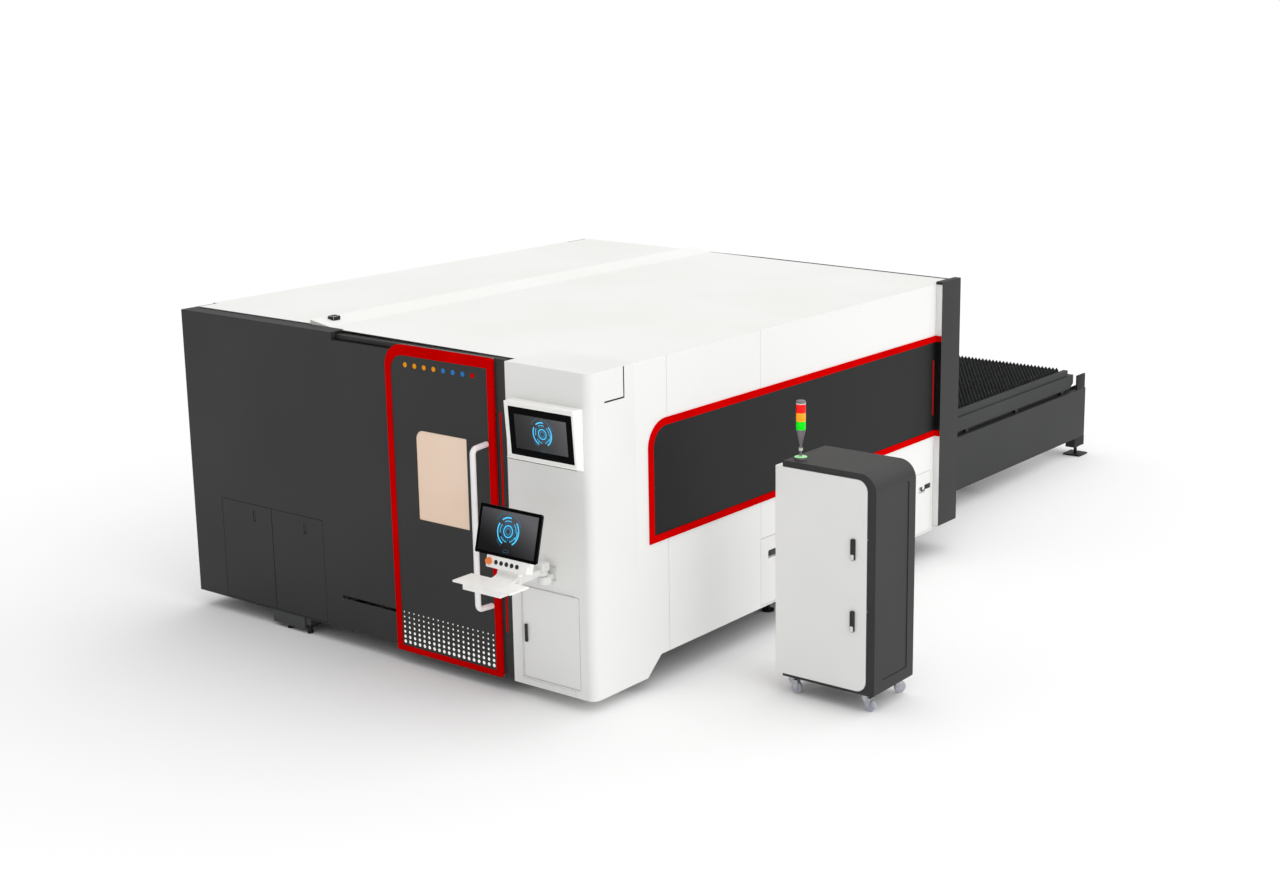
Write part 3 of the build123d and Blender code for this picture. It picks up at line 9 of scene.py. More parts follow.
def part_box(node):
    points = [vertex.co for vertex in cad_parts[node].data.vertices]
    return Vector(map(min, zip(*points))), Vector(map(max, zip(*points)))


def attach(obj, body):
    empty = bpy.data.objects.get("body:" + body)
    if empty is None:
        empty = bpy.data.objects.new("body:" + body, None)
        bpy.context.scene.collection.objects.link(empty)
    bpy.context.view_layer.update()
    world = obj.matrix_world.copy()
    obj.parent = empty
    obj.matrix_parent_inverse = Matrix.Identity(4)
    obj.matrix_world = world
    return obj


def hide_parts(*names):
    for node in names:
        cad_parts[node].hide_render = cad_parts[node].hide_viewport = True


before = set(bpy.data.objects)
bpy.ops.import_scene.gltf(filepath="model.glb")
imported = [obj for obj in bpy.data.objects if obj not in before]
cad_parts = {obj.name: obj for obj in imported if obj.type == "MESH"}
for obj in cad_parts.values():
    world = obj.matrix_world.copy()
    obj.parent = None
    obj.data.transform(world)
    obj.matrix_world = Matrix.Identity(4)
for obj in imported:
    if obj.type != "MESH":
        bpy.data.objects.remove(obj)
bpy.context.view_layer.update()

bl_info = {
    "name": "Laser cutting machine dressing",
    "version": (1, 0, 0),
    "blender": (4, 5, 0),
    "location": "3D View > Sidebar > Cutter",
    "description": "Adds finishes, screens, latches, slats and a plain stage to the packed laser cutting machine",
    "category": "Object",
}


# Colours and nodes

def from_hex(code):
    """sRGB hex value as linear colour."""
    parts = [int(code[i:i + 2], 16) / 255 for i in (1, 3, 5)]
    linear = [c / 12.92 if c <= 0.04045 else ((c + 0.055) / 1.055) ** 2.4 for c in parts]
    return (*linear, 1.0)


def add(tree, kind, inputs=None, links=None, **settings):
    """Adds a node, sets its properties and sockets, and links sockets to outputs."""
    node = tree.nodes.new(kind)
    for key, value in settings.items():
        setattr(node, key, value)
    for key, value in (inputs or {}).items():
        node.inputs[key].default_value = value
    for key, source in (links or {}).items():
        tree.links.new(source, node.inputs[key])
    return node


def surface(name, colour, roughness=0.5, metallic=0.0, **sockets):
    """Material with a principled shader; returns the material, its tree and the shader."""
    material = bpy.data.materials.new(name)
    material.use_nodes = True
    tree = material.node_tree
    tree.nodes.clear()
    values = {"Base Color": from_hex(colour), "Roughness": roughness, "Metallic": metallic}
    values.update(sockets)
    shader = add(tree, "ShaderNodeBsdfPrincipled", values)
    add(tree, "ShaderNodeOutputMaterial", links={"Surface": shader.outputs["BSDF"]})
    material.diffuse_color = from_hex(colour)
    return material, tree, shader


def speckle(tree, shader, low, high, grain_mm, detail=3.0, stretch=(1, 1, 1)):
    """Two tones of the base colour in patches of a real size; returns the mapped coordinates."""
    place = add(tree, "ShaderNodeTexCoord")
    mapped = add(tree, "ShaderNodeMapping", {"Scale": stretch}, {"Vector": place.outputs["Object"]})
    noise = add(tree, "ShaderNodeTexNoise", {"Scale": 1000 / grain_mm, "Detail": detail},
                {"Vector": mapped.outputs["Vector"]})
    tones = add(tree, "ShaderNodeValToRGB", links={"Fac": noise.outputs["Fac"]})
    for element, position, colour in zip(tones.color_ramp.elements, (0.35, 0.65), (low, high)):
        element.position = position
        element.color = from_hex(colour)
    tree.links.new(tones.outputs["Color"], shader.inputs["Base Color"])
    return mapped


def grain(tree, shader, size_mm, depth_mm, stretch=(1, 1, 1)):
    """Fine relief of a real grain size and depth."""
    place = add(tree, "ShaderNodeTexCoord")
    mapped = add(tree, "ShaderNodeMapping", {"Scale": stretch}, {"Vector": place.outputs["Object"]})
    noise = add(tree, "ShaderNodeTexNoise", {"Scale": 1000 / size_mm, "Detail": 2.0},
                {"Vector": mapped.outputs["Vector"]})
    bump = add(tree, "ShaderNodeBump", {"Strength": 0.6, "Distance": depth_mm / 1000},
               {"Height": noise.outputs["Fac"]})
    tree.links.new(bump.outputs["Normal"], shader.inputs["Normal"])


# Materials, each named for the real finish; some also carry painted light or painted shade, named as such

def powder_coat(name, low, high, roughness):
    """Baked powder coat: one even colour with a soft orange-peel relief and a dull sheen."""
    material, tree, shader = surface(name, high, roughness, **{"IOR": 1.5, "Specular IOR Level": 0.3})
    # broad drift of tone, about 900 mm across, that large painted sheets show under soft light
    speckle(tree, shader, low, high, 900, detail=1.0)
    # orange peel is about 1.5 mm; drawn at 4 mm so that it shows
    grain(tree, shader, 4, 0.05)
    return material


def seamed_white():
    """White powder coat on the long side, with the fine joints between its sheets."""
    sheet, shade, half_joint = "#ECECEA", "#B9B9B7", 0.0016
    material, tree, shader = surface("powder_coated_side_sheets", sheet, 0.42,
                                     **{"IOR": 1.5, "Specular IOR Level": 0.3})
    place = add(tree, "ShaderNodeTexCoord")
    split = add(tree, "ShaderNodeSeparateXYZ", links={"Vector": place.outputs["Object"]})
    lines = []
    # joint places in metres along the side; each joint is drawn 3.2 mm wide
    for y in (0.694, 1.675):
        away = add(tree, "ShaderNodeMath", {1: y}, {0: split.outputs["Y"]}, operation="SUBTRACT")
        size = add(tree, "ShaderNodeMath", links={0: away.outputs[0]}, operation="ABSOLUTE")
        lines.append(add(tree, "ShaderNodeMath", {1: half_joint}, {0: size.outputs[0]}, operation="LESS_THAN"))
    joints = add(tree, "ShaderNodeMath", links={0: lines[0].outputs[0], 1: lines[1].outputs[0]},
                 operation="MAXIMUM")
    tone = add(tree, "ShaderNodeMix", {6: from_hex(sheet), 7: from_hex(shade)}, {0: joints.outputs[0]},
               data_type="RGBA")
    tree.links.new(tone.outputs[2], shader.inputs["Base Color"])
    grain(tree, shader, 4, 0.05)
    return material


def gloss_enamel(name, low, high):
    """Sprayed enamel on the frames and dots: deep even colour that no reflection greys."""
    material, tree, shader = surface(name, high, 0.42, **{"IOR": 1.5, "Specular IOR Level": 0.0})
    speckle(tree, shader, low, high, 350, detail=1.0)
    grain(tree, shader, 6, 0.03)
    return material


def tinted_acrylic():
    """Laser-safe acrylic window: warm tint, smooth, with a faint haze of scratches."""
    material, tree, shader = surface("laser_safe_acrylic", "#F5DAC4", 0.12,
                                     **{"IOR": 1.49, "Coat Weight": 0.3, "Coat Roughness": 0.05})
    speckle(tree, shader, "#F3D6BD", "#FADFC9", 700, detail=1.0)
    place = add(tree, "ShaderNodeTexCoord")
    # wipe marks run level, about 2 mm high and 60 mm long
    mapped = add(tree, "ShaderNodeMapping", {"Scale": (1, 1, 30)}, {"Vector": place.outputs["Object"]})
    haze = add(tree, "ShaderNodeTexNoise", {"Scale": 1000 / 60, "Detail": 4.0},
               {"Vector": mapped.outputs["Vector"]})
    span = add(tree, "ShaderNodeMapRange", {"To Min": 0.10, "To Max": 0.22}, {"Value": haze.outputs["Fac"]})
    tree.links.new(span.outputs["Result"], shader.inputs["Roughness"])
    return material


def ground_steel(name, low, high, roughness, stretch):
    """Ground, drawn or plated steel: grey metal, with fine lines along its length where it is stretched."""
    material, tree, shader = surface(name, high, roughness, 1.0)
    speckle(tree, shader, low, high, 40, detail=4.0, stretch=stretch)
    grain(tree, shader, 3, 0.03, stretch)
    return material


def cast_aluminium(name, low, high):
    """Bead-blasted aluminium: pale even metal with a fine satin grain."""
    material, tree, shader = surface(name, high, 0.42, 1.0)
    speckle(tree, shader, low, high, 120)
    grain(tree, shader, 1.5, 0.02)
    return material


def slag_steel():
    """Hot rolled slat steel: dark grey mill scale with faint brown burns."""
    material, tree, shader = surface("scorched_slat_steel", "#2C2E2D", 0.7, 0.2, **{"Specular IOR Level": 0.25})
    mapped = speckle(tree, shader, "#3A3C3B", "#4A4C4B", 45, detail=6.0)
    scale = shader.inputs["Base Color"].links[0].from_socket
    # burnt patches about 120 mm across
    patch = add(tree, "ShaderNodeTexNoise", {"Scale": 1000 / 120, "Detail": 5.0},
                {"Vector": mapped.outputs["Vector"]})
    mask = add(tree, "ShaderNodeMapRange", {"From Min": 0.6, "From Max": 0.75}, {"Value": patch.outputs["Fac"]})
    mixed = add(tree, "ShaderNodeMix", {7: from_hex("#4A4440")}, {0: mask.outputs["Result"], 6: scale},
                data_type="RGBA")
    tree.links.new(mixed.outputs[2], shader.inputs["Base Color"])
    grain(tree, shader, 8, 0.2)
    return material


def moulded_plastic(name, low, high, roughness, relief_mm=0.03):
    """Injection-moulded plastic: even colour, low sheen and a fine spark-eroded grain."""
    material, tree, shader = surface(name, high, roughness, **{"IOR": 1.46})
    speckle(tree, shader, low, high, 60, detail=1.0)
    grain(tree, shader, 1.2, relief_mm)
    return material


def cover_glass():
    """Screen glass over a black printed border: near black and smooth."""
    material, tree, shader = surface("screen_cover_glass", "#020202", 0.25,
                                     **{"IOR": 1.5, "Specular IOR Level": 0.03})
    speckle(tree, shader, "#010101", "#040405", 300, detail=1.0)
    return material


def display_panel(name, dark, pale, start, end):
    """Display behind the glass, grey and paler from the start point towards the end point."""
    material, tree, shader = surface(name, dark, 0.3, **{"IOR": 1.5, "Specular IOR Level": 0.1})
    place = add(tree, "ShaderNodeTexCoord")
    along = Vector(end) - Vector(start)
    moved = add(tree, "ShaderNodeVectorMath", {1: start}, {0: place.outputs["Object"]}, operation="SUBTRACT")
    share = add(tree, "ShaderNodeVectorMath", {1: along / along.length_squared}, {0: moved.outputs[0]},
                operation="DOT_PRODUCT")
    held = add(tree, "ShaderNodeClamp", links={"Value": share.outputs["Value"]})
    curve = add(tree, "ShaderNodeMath", {1: 1.6}, {0: held.outputs[0]}, operation="POWER")
    tone = add(tree, "ShaderNodeMix", {6: from_hex(dark), 7: from_hex(pale)}, {0: curve.outputs[0]},
               data_type="RGBA")
    tree.links.new(tone.outputs[2], shader.inputs["Base Color"])
    return material


def lit_mark(name, colour, strength):
    """Part that glows in its own colour: a drawing on a display lit from behind, a lit lamp part, and painted
    light on the discs in the door's vents, which are no lamp.
    """
    material, tree, shader = surface(name, colour, 0.4,
                                     **{"Emission Strength": strength, "Emission Color": from_hex(colour)})
    speckle(tree, shader, colour, colour, 20)
    return material


def lens_plastic(name, low, high):
    """Ribbed polycarbonate lens of the signal light: clear colour lit through."""
    material, tree, shader = surface(name, high, 0.22, **{
        "IOR": 1.58, "Specular IOR Level": 0.15, "Emission Strength": 0.2, "Emission Color": from_hex(high)})
    speckle(tree, shader, low, high, 30)
    place = add(tree, "ShaderNodeTexCoord")
    # soft ribs about 25 mm apart up the lens: one wave is 2 pi / (20 x scale) metres long
    mapped = add(tree, "ShaderNodeMapping", {"Scale": (0, 0, 1)}, {"Vector": place.outputs["Object"]})
    wave = add(tree, "ShaderNodeTexWave", {"Scale": 12.5, "Distortion": 0.0},
               {"Vector": mapped.outputs["Vector"]}, bands_direction="Z")
    bump = add(tree, "ShaderNodeBump", {"Strength": 0.5, "Distance": 0.0006}, {"Height": wave.outputs["Fac"]})
    tree.links.new(bump.outputs["Normal"], shader.inputs["Normal"])
    return material


def clear_polyurethane():
    """Translucent caster tread: milky and slightly blue, with a soft inner glow."""
    material, tree, shader = surface("clear_polyurethane", "#C9C9D6", 0.25, **{
        "IOR": 1.5, "Transmission Weight": 0.35, "Subsurface Weight": 0.2,
        "Subsurface Radius": (0.01, 0.01, 0.012)})
    speckle(tree, shader, "#BDBDCC", "#D3D3DE", 25)
    grain(tree, shader, 3, 0.03)
    return material


# What makes each finish and what it is given: mostly name, lower tone, upper tone and roughness
MAKERS = {
    # painted sheet and tube
    "charcoal_sheet": (powder_coat, "powder_coated_charcoal_sheet", "#262726", "#2B2C2B", 0.5),
    "band_sheet": (powder_coat, "powder_coated_black_band", "#050605", "#090A09", 0.55),
    "cabinet_sheet": (powder_coat, "powder_coated_cabinet_charcoal", "#2A2B2A", "#303130", 0.5),
    "white_sheet": (powder_coat, "powder_coated_white_sheet", "#E9E9E7", "#EDEDEB", 0.42),
    "roof_sheet": (powder_coat, "powder_coated_roof_sheet", "#EBEBE8", "#EFEFED", 0.5),
    "side_sheet": (seamed_white,),
    "lining_sheet": (powder_coat, "powder_coated_door_lining", "#E4E4E2", "#E9E9E7", 0.5),
    "tube_coat": (powder_coat, "powder_coated_grip_tube", "#F4F2F3", "#F9F7F8", 0.38),
    "shutter_sheet": (powder_coat, "galvanised_shutter_sheet", "#6B6C6E", "#77787A", 0.45),
    "bed_coat": (powder_coat, "painted_welded_bed", "#3E3F40", "#464748", 0.55),
    "dark_steel": (powder_coat, "black_painted_foot_steel", "#101010", "#181818", 0.5),
    "table_coat": (powder_coat, "powder_coated_table_frame", "#252626", "#2A2B2B", 0.5),
    "pallet_coat": (powder_coat, "painted_pallet_beam", "#2B2C2D", "#323334", 0.55),
    "red_enamel": (gloss_enamel, "red_gloss_enamel", "#C40000", "#CF0202"),
    "amber_enamel": (gloss_enamel, "amber_enamel_dot", "#E8961C", "#F0A024"),
    "blue_enamel": (gloss_enamel, "blue_enamel_dot", "#2E6FB4", "#3A7CC2"),
    # bare metal; the last value of a steel stretches its pattern along the part
    "rail_steel": (ground_steel, "ground_rail_steel", "#A9AAAD", "#C2C3C6", 0.25, (1, 0.05, 1)),
    "zinc_bolt": (ground_steel, "zinc_plated_bolt_heads", "#B0B0B2", "#C4C4C6", 0.35, (1, 1, 1)),
    "zinc": (ground_steel, "zinc_plated_fork", "#A7A8AC", "#BDBEC2", 0.35, (1, 1, 1)),
    "beam_metal": (cast_aluminium, "blasted_aluminium_beam", "#B4B6B9", "#C4C6C9"),
    "head_metal": (cast_aluminium, "turned_head_aluminium", "#9FA0A3", "#B0B1B4"),
    "slat": (slag_steel,),
    # mouldings and rubber; a last value is the depth of the grain in millimetres
    # the arm wears the white moulding made darker: painted shade for the shade the arm stands in
    "arm_painted_shade": (moulded_plastic, "moulding_of_arm_with_painted_shade", "#DCDCDA", "#E4E4E2", 0.4),
    "white_moulding": (moulded_plastic, "painted_white_moulding", "#F6F5F2", "#FAF9F6", 0.4),
    "black_rubber": (moulded_plastic, "black_moulded_rubber", "#0B0B0B", "#131313", 0.7, 0.08),
    "pale_gasket": (moulded_plastic, "pale_grey_gasket", "#C9C9C5", "#D1D1CE", 0.6, 0.05),
    "pale_trim": (moulded_plastic, "pale_lamp_trim", "#C4C6BE", "#D2D4CC", 0.35),
    "orange_cap": (moulded_plastic, "orange_button_moulding", "#F07A2E", "#F78636", 0.35),
    "black_cap": (moulded_plastic, "black_button_moulding", "#050505", "#0B0B0B", 0.5),
    "black_latch": (moulded_plastic, "black_glass_filled_nylon", "#1A1A1A", "#232323", 0.5, 0.06),
    "white_cap": (moulded_plastic, "white_key_cap", "#DADAD8", "#E2E2E0", 0.4),
    "lamp_body": (moulded_plastic, "grey_lamp_moulding", "#6E666E", "#7A727A", 0.4),
    "clear_tread": (clear_polyurethane,),
    # windows, glass and lenses
    "window": (tinted_acrylic,),
    "glass": (cover_glass,),
    "green_lens": (lens_plastic, "green_lens_polycarbonate", "#00D810", "#06EE18"),
    "amber_lens": (lens_plastic, "amber_lens_polycarbonate", "#F79A1E", "#FFA92B"),
    "red_lens": (lens_plastic, "red_lens_polycarbonate", "#E60A06", "#F8130C"),
    # displays, from their dark corner to their pale one in metres, and lit parts with their strength
    "upper_display": (display_panel, "lit_upper_display", "#2C2C2D", "#6A6A6D",
                      (2.05, -0.1, 1.57), (2.44, -0.1, 1.83)),
    "lower_display": (display_panel, "lit_lower_display", "#0E0E0F", "#666669",
                      (2.1, -0.35, 1.04), (2.2, -0.35, 1.29)),
    "cyan_mark": (lit_mark, "cyan_display_mark", "#2FA9D8", 0.9),
    "deep_cyan_mark": (lit_mark, "deep_cyan_display_mark", "#14607F", 0.6),
    # white discs set to glow: painted light for the white door lining seen through the vents
    "vent_painted_glow": (lit_mark, "vent_disc_painted_light", "#F2F2EE", 0.3),
    "lamp_base": (lit_mark, "green_lit_lamp_base", "#8FE08F", 0.25),
}

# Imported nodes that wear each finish
COATS = {
    "charcoal_sheet": ("front_left_cover", "front_access_door_left", "front_access_door_right",
                       "door_surround", "sliding_door", "rear_portal"),
    "red_enamel": ("door_red_frame", "side_band_frame"),
    "white_sheet": ("operator_column", "column_door", "side_access_door_front", "side_access_door_rear",
                    "cabinet_door"),
    "roof_sheet": ("left_shell", "right_roof_panel"),
    "side_sheet": ("right_side_panel",),
    "band_sheet": ("side_band_panel",),
    "lining_sheet": ("door_liner",),
    "tube_coat": ("door_handle",),
    "window": ("door_window",),
    "shutter_sheet": ("rear_shutter",),
    "bed_coat": ("bed_frame", "laser_source"),
    "dark_steel": ("levelling_feet",),
    "rail_steel": ("gantry_rails",),
    "beam_metal": ("gantry_beam", "cross_carriage"),
    "head_metal": ("cutting_head",),
    "table_coat": ("exchange_frame",),
    "pallet_coat": ("outer_pallet",),
    "slat": ("inner_pallet",),
    "white_moulding": ("monitor_housing", "console_stand", "console_head"),
    "arm_painted_shade": ("arm_bracket", "arm_link"),
    "glass": ("monitor_screen", "console_screen"),
    "orange_cap": ("stop_button",),
    "black_cap": tuple("push_button_%d" % n for n in range(1, 6)),
    "cabinet_sheet": ("cabinet_body",),
    "black_latch": ("cabinet_lock_upper", "cabinet_lock_lower"),
    "lamp_body": ("stack_light_post",),
    "green_lens": ("stack_lens_green",),
    "amber_lens": ("stack_lens_amber",),
    "red_lens": ("stack_lens_red",),
    "zinc": tuple("caster_fork_%d" % n for n in range(1, 5)),
    "clear_tread": tuple("caster_wheel_%d" % n for n in range(1, 5)),
}

_made = {}


def finish_named(key):
    """Material of that key, made once."""
    if key not in _made:
        maker, *values = MAKERS[key]
        _made[key] = maker(*values)
    return _made[key]


# Mesh helpers; all sizes and places are in metres

def only_verts(geom):
    """Vertices out of mixed elements."""
    return [v for v in geom if isinstance(v, bmesh.types.BMVert)]


def everything(bm):
    """All elements of a bmesh."""
    return bm.verts[:] + bm.edges[:] + bm.faces[:]


def bevel_all(bm, width, segments=2, edges=None):
    """Bevels the given edges, or else all."""
    bmesh.ops.bevel(bm, geom=edges or bm.edges[:], offset=width, offset_type="OFFSET", segments=segments,
                    profile=0.5, affect="EDGES", material=-1, clamp_overlap=True)


def bar(low, high, bevel=0.0005, segments=2):
    """Bevelled bar between two corners."""
    bm = bmesh.new()
    bmesh.ops.create_cube(bm, size=1.0)
    low, high = Vector(low), Vector(high)
    bmesh.ops.scale(bm, vec=high - low, verts=bm.verts)
    bmesh.ops.translate(bm, vec=(low + high) / 2, verts=bm.verts)
    if bevel:
        bevel_all(bm, bevel, segments)
    return bm


def disc(centre, axis, radius, thickness, segments=32, bevel=0.0005):
    """Round plate with its foot at the centre, rising along the axis."""
    bm = bmesh.new()
    bmesh.ops.create_circle(bm, cap_ends=True, radius=radius, segments=segments)
    top = bmesh.ops.extrude_face_region(bm, geom=bm.faces[:])["geom"]
    bmesh.ops.translate(bm, vec=(0, 0, thickness), verts=only_verts(top))
    if bevel:
        bevel_all(bm, bevel, 2, [e for e in bm.edges if all(abs(v.co.z - thickness) < 1e-7 for v in e.verts)])
    turn = Vector((0, 0, 1)).rotation_difference(Vector(axis)).to_matrix().to_4x4()
    return placed(bm, Matrix.Translation(centre) @ turn)


def arc(inner, outer, start, sweep, height=0.0003):
    """Flat ring segment from a spun quad; angles in degrees."""
    bm = bmesh.new()
    corners = ((inner, 0), (outer, 0), (outer, height), (inner, height))
    quad = bm.faces.new([bm.verts.new((r, 0, z)) for r, z in corners])
    full = sweep >= 360
    bmesh.ops.rotate(bm, cent=(0, 0, 0), matrix=Matrix.Rotation(math.radians(start), 3, "Z"), verts=bm.verts)
    if full:
        bmesh.ops.delete(bm, geom=[quad], context="FACES_ONLY")
    bmesh.ops.spin(bm, geom=bm.edges[:] + bm.faces[:], cent=(0, 0, 0), axis=(0, 0, 1),
                   angle=math.radians(sweep), steps=max(3, int(sweep / 6)), use_merge=full)
    return bm


def ring(centre, inner, outer, height):
    """Flat-topped full ring round an upright axis, with its foot at the centre."""
    return placed(arc(inner, outer, 0, 360, height), Matrix.Translation(centre))


def joined(parts):
    """One bmesh from several."""
    whole = bmesh.new()
    for part in parts:
        mesh = bpy.data.meshes.new("part")
        part.to_mesh(mesh)
        part.free()
        whole.from_mesh(mesh)
        bpy.data.meshes.remove(mesh)
    return whole


def placed(bm, matrix):
    """The same bmesh, moved."""
    bmesh.ops.transform(bm, matrix=matrix, verts=bm.verts)
    return bm


def piece(name, bm, key, body, smooth=True):
    """Finished object at the origin, with its material and body."""
    bmesh.ops.remove_doubles(bm, verts=bm.verts, dist=1e-6)
    bmesh.ops.recalc_face_normals(bm, faces=bm.faces)
    mesh = bpy.data.meshes.new(name)
    bm.to_mesh(mesh)
    bm.free()
    item = bpy.data.objects.new(name, mesh)
    bpy.context.scene.collection.objects.link(item)
    mesh.materials.append(finish_named(key))
    if smooth:
        mesh.shade_smooth()
        mesh.set_sharp_from_angle(angle=math.radians(35))
    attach(item, body)
    return item


# Shapes of single pieces

def dial(radius):
    """Plain gauge: three long outer arcs, thin rings, a ring of ticks, faint outer arcs and a capsule outline."""
    bright = [arc(radius * 0.90, radius, start, sweep) for start, sweep in ((-60, 105), (80, 50), (150, 95))]
    bright.append(arc(radius * 0.36, radius * 0.44, 0, 360))
    bright.extend(arc(radius * 0.70, radius * 0.75, n * 72, 50) for n in range(5))
    bright.append(arc(radius * 0.80, radius * 0.86, -35, 40))
    deep = [arc(radius * 0.53, radius * 0.63, n * 18, 7) for n in range(20)]
    deep.extend(arc(radius * inner, radius * outer, start, sweep) for inner, outer, start, sweep in (
        (0.16, 0.28, 0, 360), (1.14, 1.18, 20, 75), (1.28, 1.31, 110, 40), (1.14, 1.17, 215, 30)))
    # capsule outline under the gauge, from two half rings and two bars
    low, half, round_off, line, rise = -1.36 * radius, 0.16 * radius, 0.10 * radius, 0.0012, 0.0003
    for start, x in ((-90, half), (90, -half)):
        deep.append(placed(arc(round_off - line, round_off, start, 180), Matrix.Translation((x, low, 0))))
    for y in (low - round_off, low + round_off - line):
        deep.append(bar((-half, y, 0), (half, y + line, rise), 0))
    return joined(bright), joined(deep)


def glass_carrier(w, h):
    """Black carrier behind the edge of the lower glass, of that half width and half height."""
    rear, fore, short, bevel = -0.021, -0.0105, 0.006, 0.0004
    half_strip, side_in, top_low, top_high = 0.0018, 0.0022, 0.004, 0.0004
    rim = [bar((x - half_strip, -h + short, rear), (x + half_strip, h - short, fore), bevel)
           for x in (side_in - w, w - side_in)]
    rim.append(bar((-w + short, h - top_low, rear), (w - short, h - top_high, fore), bevel))
    return joined(rim)


def button_collars(out, turn):
    """Black collars round the five push buttons, on the face of their box."""
    inner, outer, height, above_middle = 0.0114, 0.0138, 0.0012, 0.0036
    collars = []
    for number in range(1, 6):
        low, high = (Vector(v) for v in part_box("push_button_%d" % number))
        foot = (low + high) / 2 + out * above_middle
        collars.append(placed(arc(inner, outer, 0, 360, height), Matrix.Translation(foot) @ turn))
    return joined(collars)


def gasket(node, facing, free):
    """Strip round the free edges of a hatch, set back in its gap; the hinge side is left open."""
    low, high = (Vector(v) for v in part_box(node))
    reach, back, deep, from_hinge = 0.0022, 0.0015, 0.006, 0.02
    front = facing == "front"
    depth = (low.y + back, low.y + deep) if front else (high.x - deep, high.x - back)
    near, far = (low.x, high.x) if front else (low.y, high.y)
    if free == "high":
        run, side = (near + from_hinge, far), (far, far + reach)
    else:
        run, side = (near, far - from_hinge), (near - reach, near)
    strips = ((run, (high.z, high.z + reach)), (run, (low.z - reach, low.z)),
              (side, (low.z - reach, high.z + reach)))
    bars = []
    for along, upright in strips:
        spans = (along, depth, upright) if front else (depth, along, upright)
        bars.append(bar([s[0] for s in spans], [s[1] for s in spans], 0.0002, 1))
    return joined(bars)


def housing(low, high):
    """Wedge round the upper screen: leaning face, narrow right rim and a recess for the glass."""
    # depth at the top and above the chin, height of the chin, and how far the right end stands in
    deep_top, deep_chin, chin, inset = 0.087, 0.060, 0.031, 0.045
    recess, side_play, edge_play, near_wall = 0.014, 0.0004, 0.0015, 0.05
    glass_low, glass_high = (Vector(v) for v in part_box("monitor_screen"))
    bm = bmesh.new()
    profile = ((high.y, low.z), (high.y, high.z), (high.y - deep_top, high.z), (high.y - deep_chin, low.z + chin))
    end = bm.faces.new([bm.verts.new((low.x, y, z)) for y, z in profile])
    far = bmesh.ops.extrude_face_region(bm, geom=[end])["geom"]
    bmesh.ops.translate(bm, vec=(high.x - inset - low.x, 0, 0), verts=only_verts(far))
    bmesh.ops.recalc_face_normals(bm, faces=bm.faces)
    bevel_all(bm, 0.004, 3, [e for e in bm.edges if min(v.co.y for v in e.verts) < high.y - near_wall])
    up = Vector((0, deep_chin - deep_top, high.z - low.z - chin)).normalized()
    out = Vector((0, -up.z, up.y))
    across = Vector((1, 0, 0))
    middle = (glass_low + glass_high) / 2
    half_h = (glass_high.z - glass_low.z) / 2 / up.z - edge_play
    cuts = [(across * x, across) for x in (glass_low.x - side_play, glass_high.x + side_play)]
    cuts += [(middle + up * half_h, up), (middle - up * half_h, up)]
    for place, normal in cuts:
        bmesh.ops.bisect_plane(bm, geom=everything(bm), plane_co=place, plane_no=normal)
    # the one front face over the middle of the glass is pushed in
    near = 0.05
    seat = [f for f in bm.faces if f.normal.dot(out) > 0.99
            and abs(f.calc_center_median().x - middle.x) < near
            and abs((f.calc_center_median() - middle).dot(up)) < near]
    pushed = bmesh.ops.extrude_face_region(bm, geom=seat)["geom"]
    bmesh.ops.delete(bm, geom=[f for f in seat if f.is_valid], context="FACES_ONLY")
    bmesh.ops.translate(bm, vec=out * -recess, verts=only_verts(pushed))
    return bm


def top_skin():
    """Thin sloping skin that carries the plane of the roof on over the top of the column."""
    start, end, front, back, overlap = 1.8762, 2.5195, -0.0298, 0.3895, 0.0017
    foot, thin_end, slope, corner_radius = 2.0775, 0.0009, 0.00898, 0.055
    bm = bmesh.new()
    corners = ((start, front), (end, front), (end, back), (start - overlap, back))
    base = bm.faces.new([bm.verts.new((x, y, foot)) for x, y in corners])
    for v in only_verts(bmesh.ops.extrude_face_region(bm, geom=[base])["geom"]):
        v.co.z = foot + thin_end + (end - v.co.x) * slope
    corner = [e for e in bm.edges if all(v.co.x > end - 1e-6 and v.co.y < front + 1e-6 for v in e.verts)]
    bevel_all(bm, corner_radius, 10, corner)
    bmesh.ops.recalc_face_normals(bm, faces=bm.faces)
    return bm


# Sizes and colours that a user would change

class CutterSizes(bpy.types.PropertyGroup):
    tooth_pitch: FloatProperty(
        name="Tooth pitch", description="Distance between two teeth of a slat", default=0.0358, unit="LENGTH")
    tooth_depth: FloatProperty(
        name="Tooth depth", description="Height of each tooth", default=0.022, unit="LENGTH")
    slat_pitch: FloatProperty(
        name="Slat pitch", description="Distance between two slats", default=0.055, unit="LENGTH")
    dot_radius: FloatProperty(
        name="Dot radius", description="Radius of the plain dots above the door window", default=0.016,
        unit="LENGTH")
    stripe_width: FloatProperty(
        name="Stripe width", description="Width of the thin upright red stripes", default=0.013, unit="LENGTH")
    dial_radius: FloatProperty(
        name="Dial radius", description="Outer radius of the drawing on each display", default=0.085,
        unit="LENGTH")
    sky_strength: FloatProperty(
        name="Sky strength", description="Strength of the even light from all round", default=0.57)
    key_power: FloatProperty(
        name="Overhead power", description="Power of the broad overhead lamp", default=1.7)
    fill_power: FloatProperty(
        name="Right power", description="Power of the broad lamp on the right", default=0.56)
    bolt_radius: FloatProperty(
        name="Bolt radius", description="Radius of the small screw heads", default=0.005, unit="LENGTH")


class CutterColours(bpy.types.PropertyGroup):
    floor: FloatVectorProperty(
        name="Floor", description="Colour of the floor", default=(0.93, 0.93, 0.93),
        subtype="COLOR", size=3, min=0, max=1)
    backdrop: FloatVectorProperty(
        name="Backdrop", description="Colour that the camera sees behind the machine", default=(1.0, 1.0, 1.0),
        subtype="COLOR", size=3, min=0, max=1)


# Steps

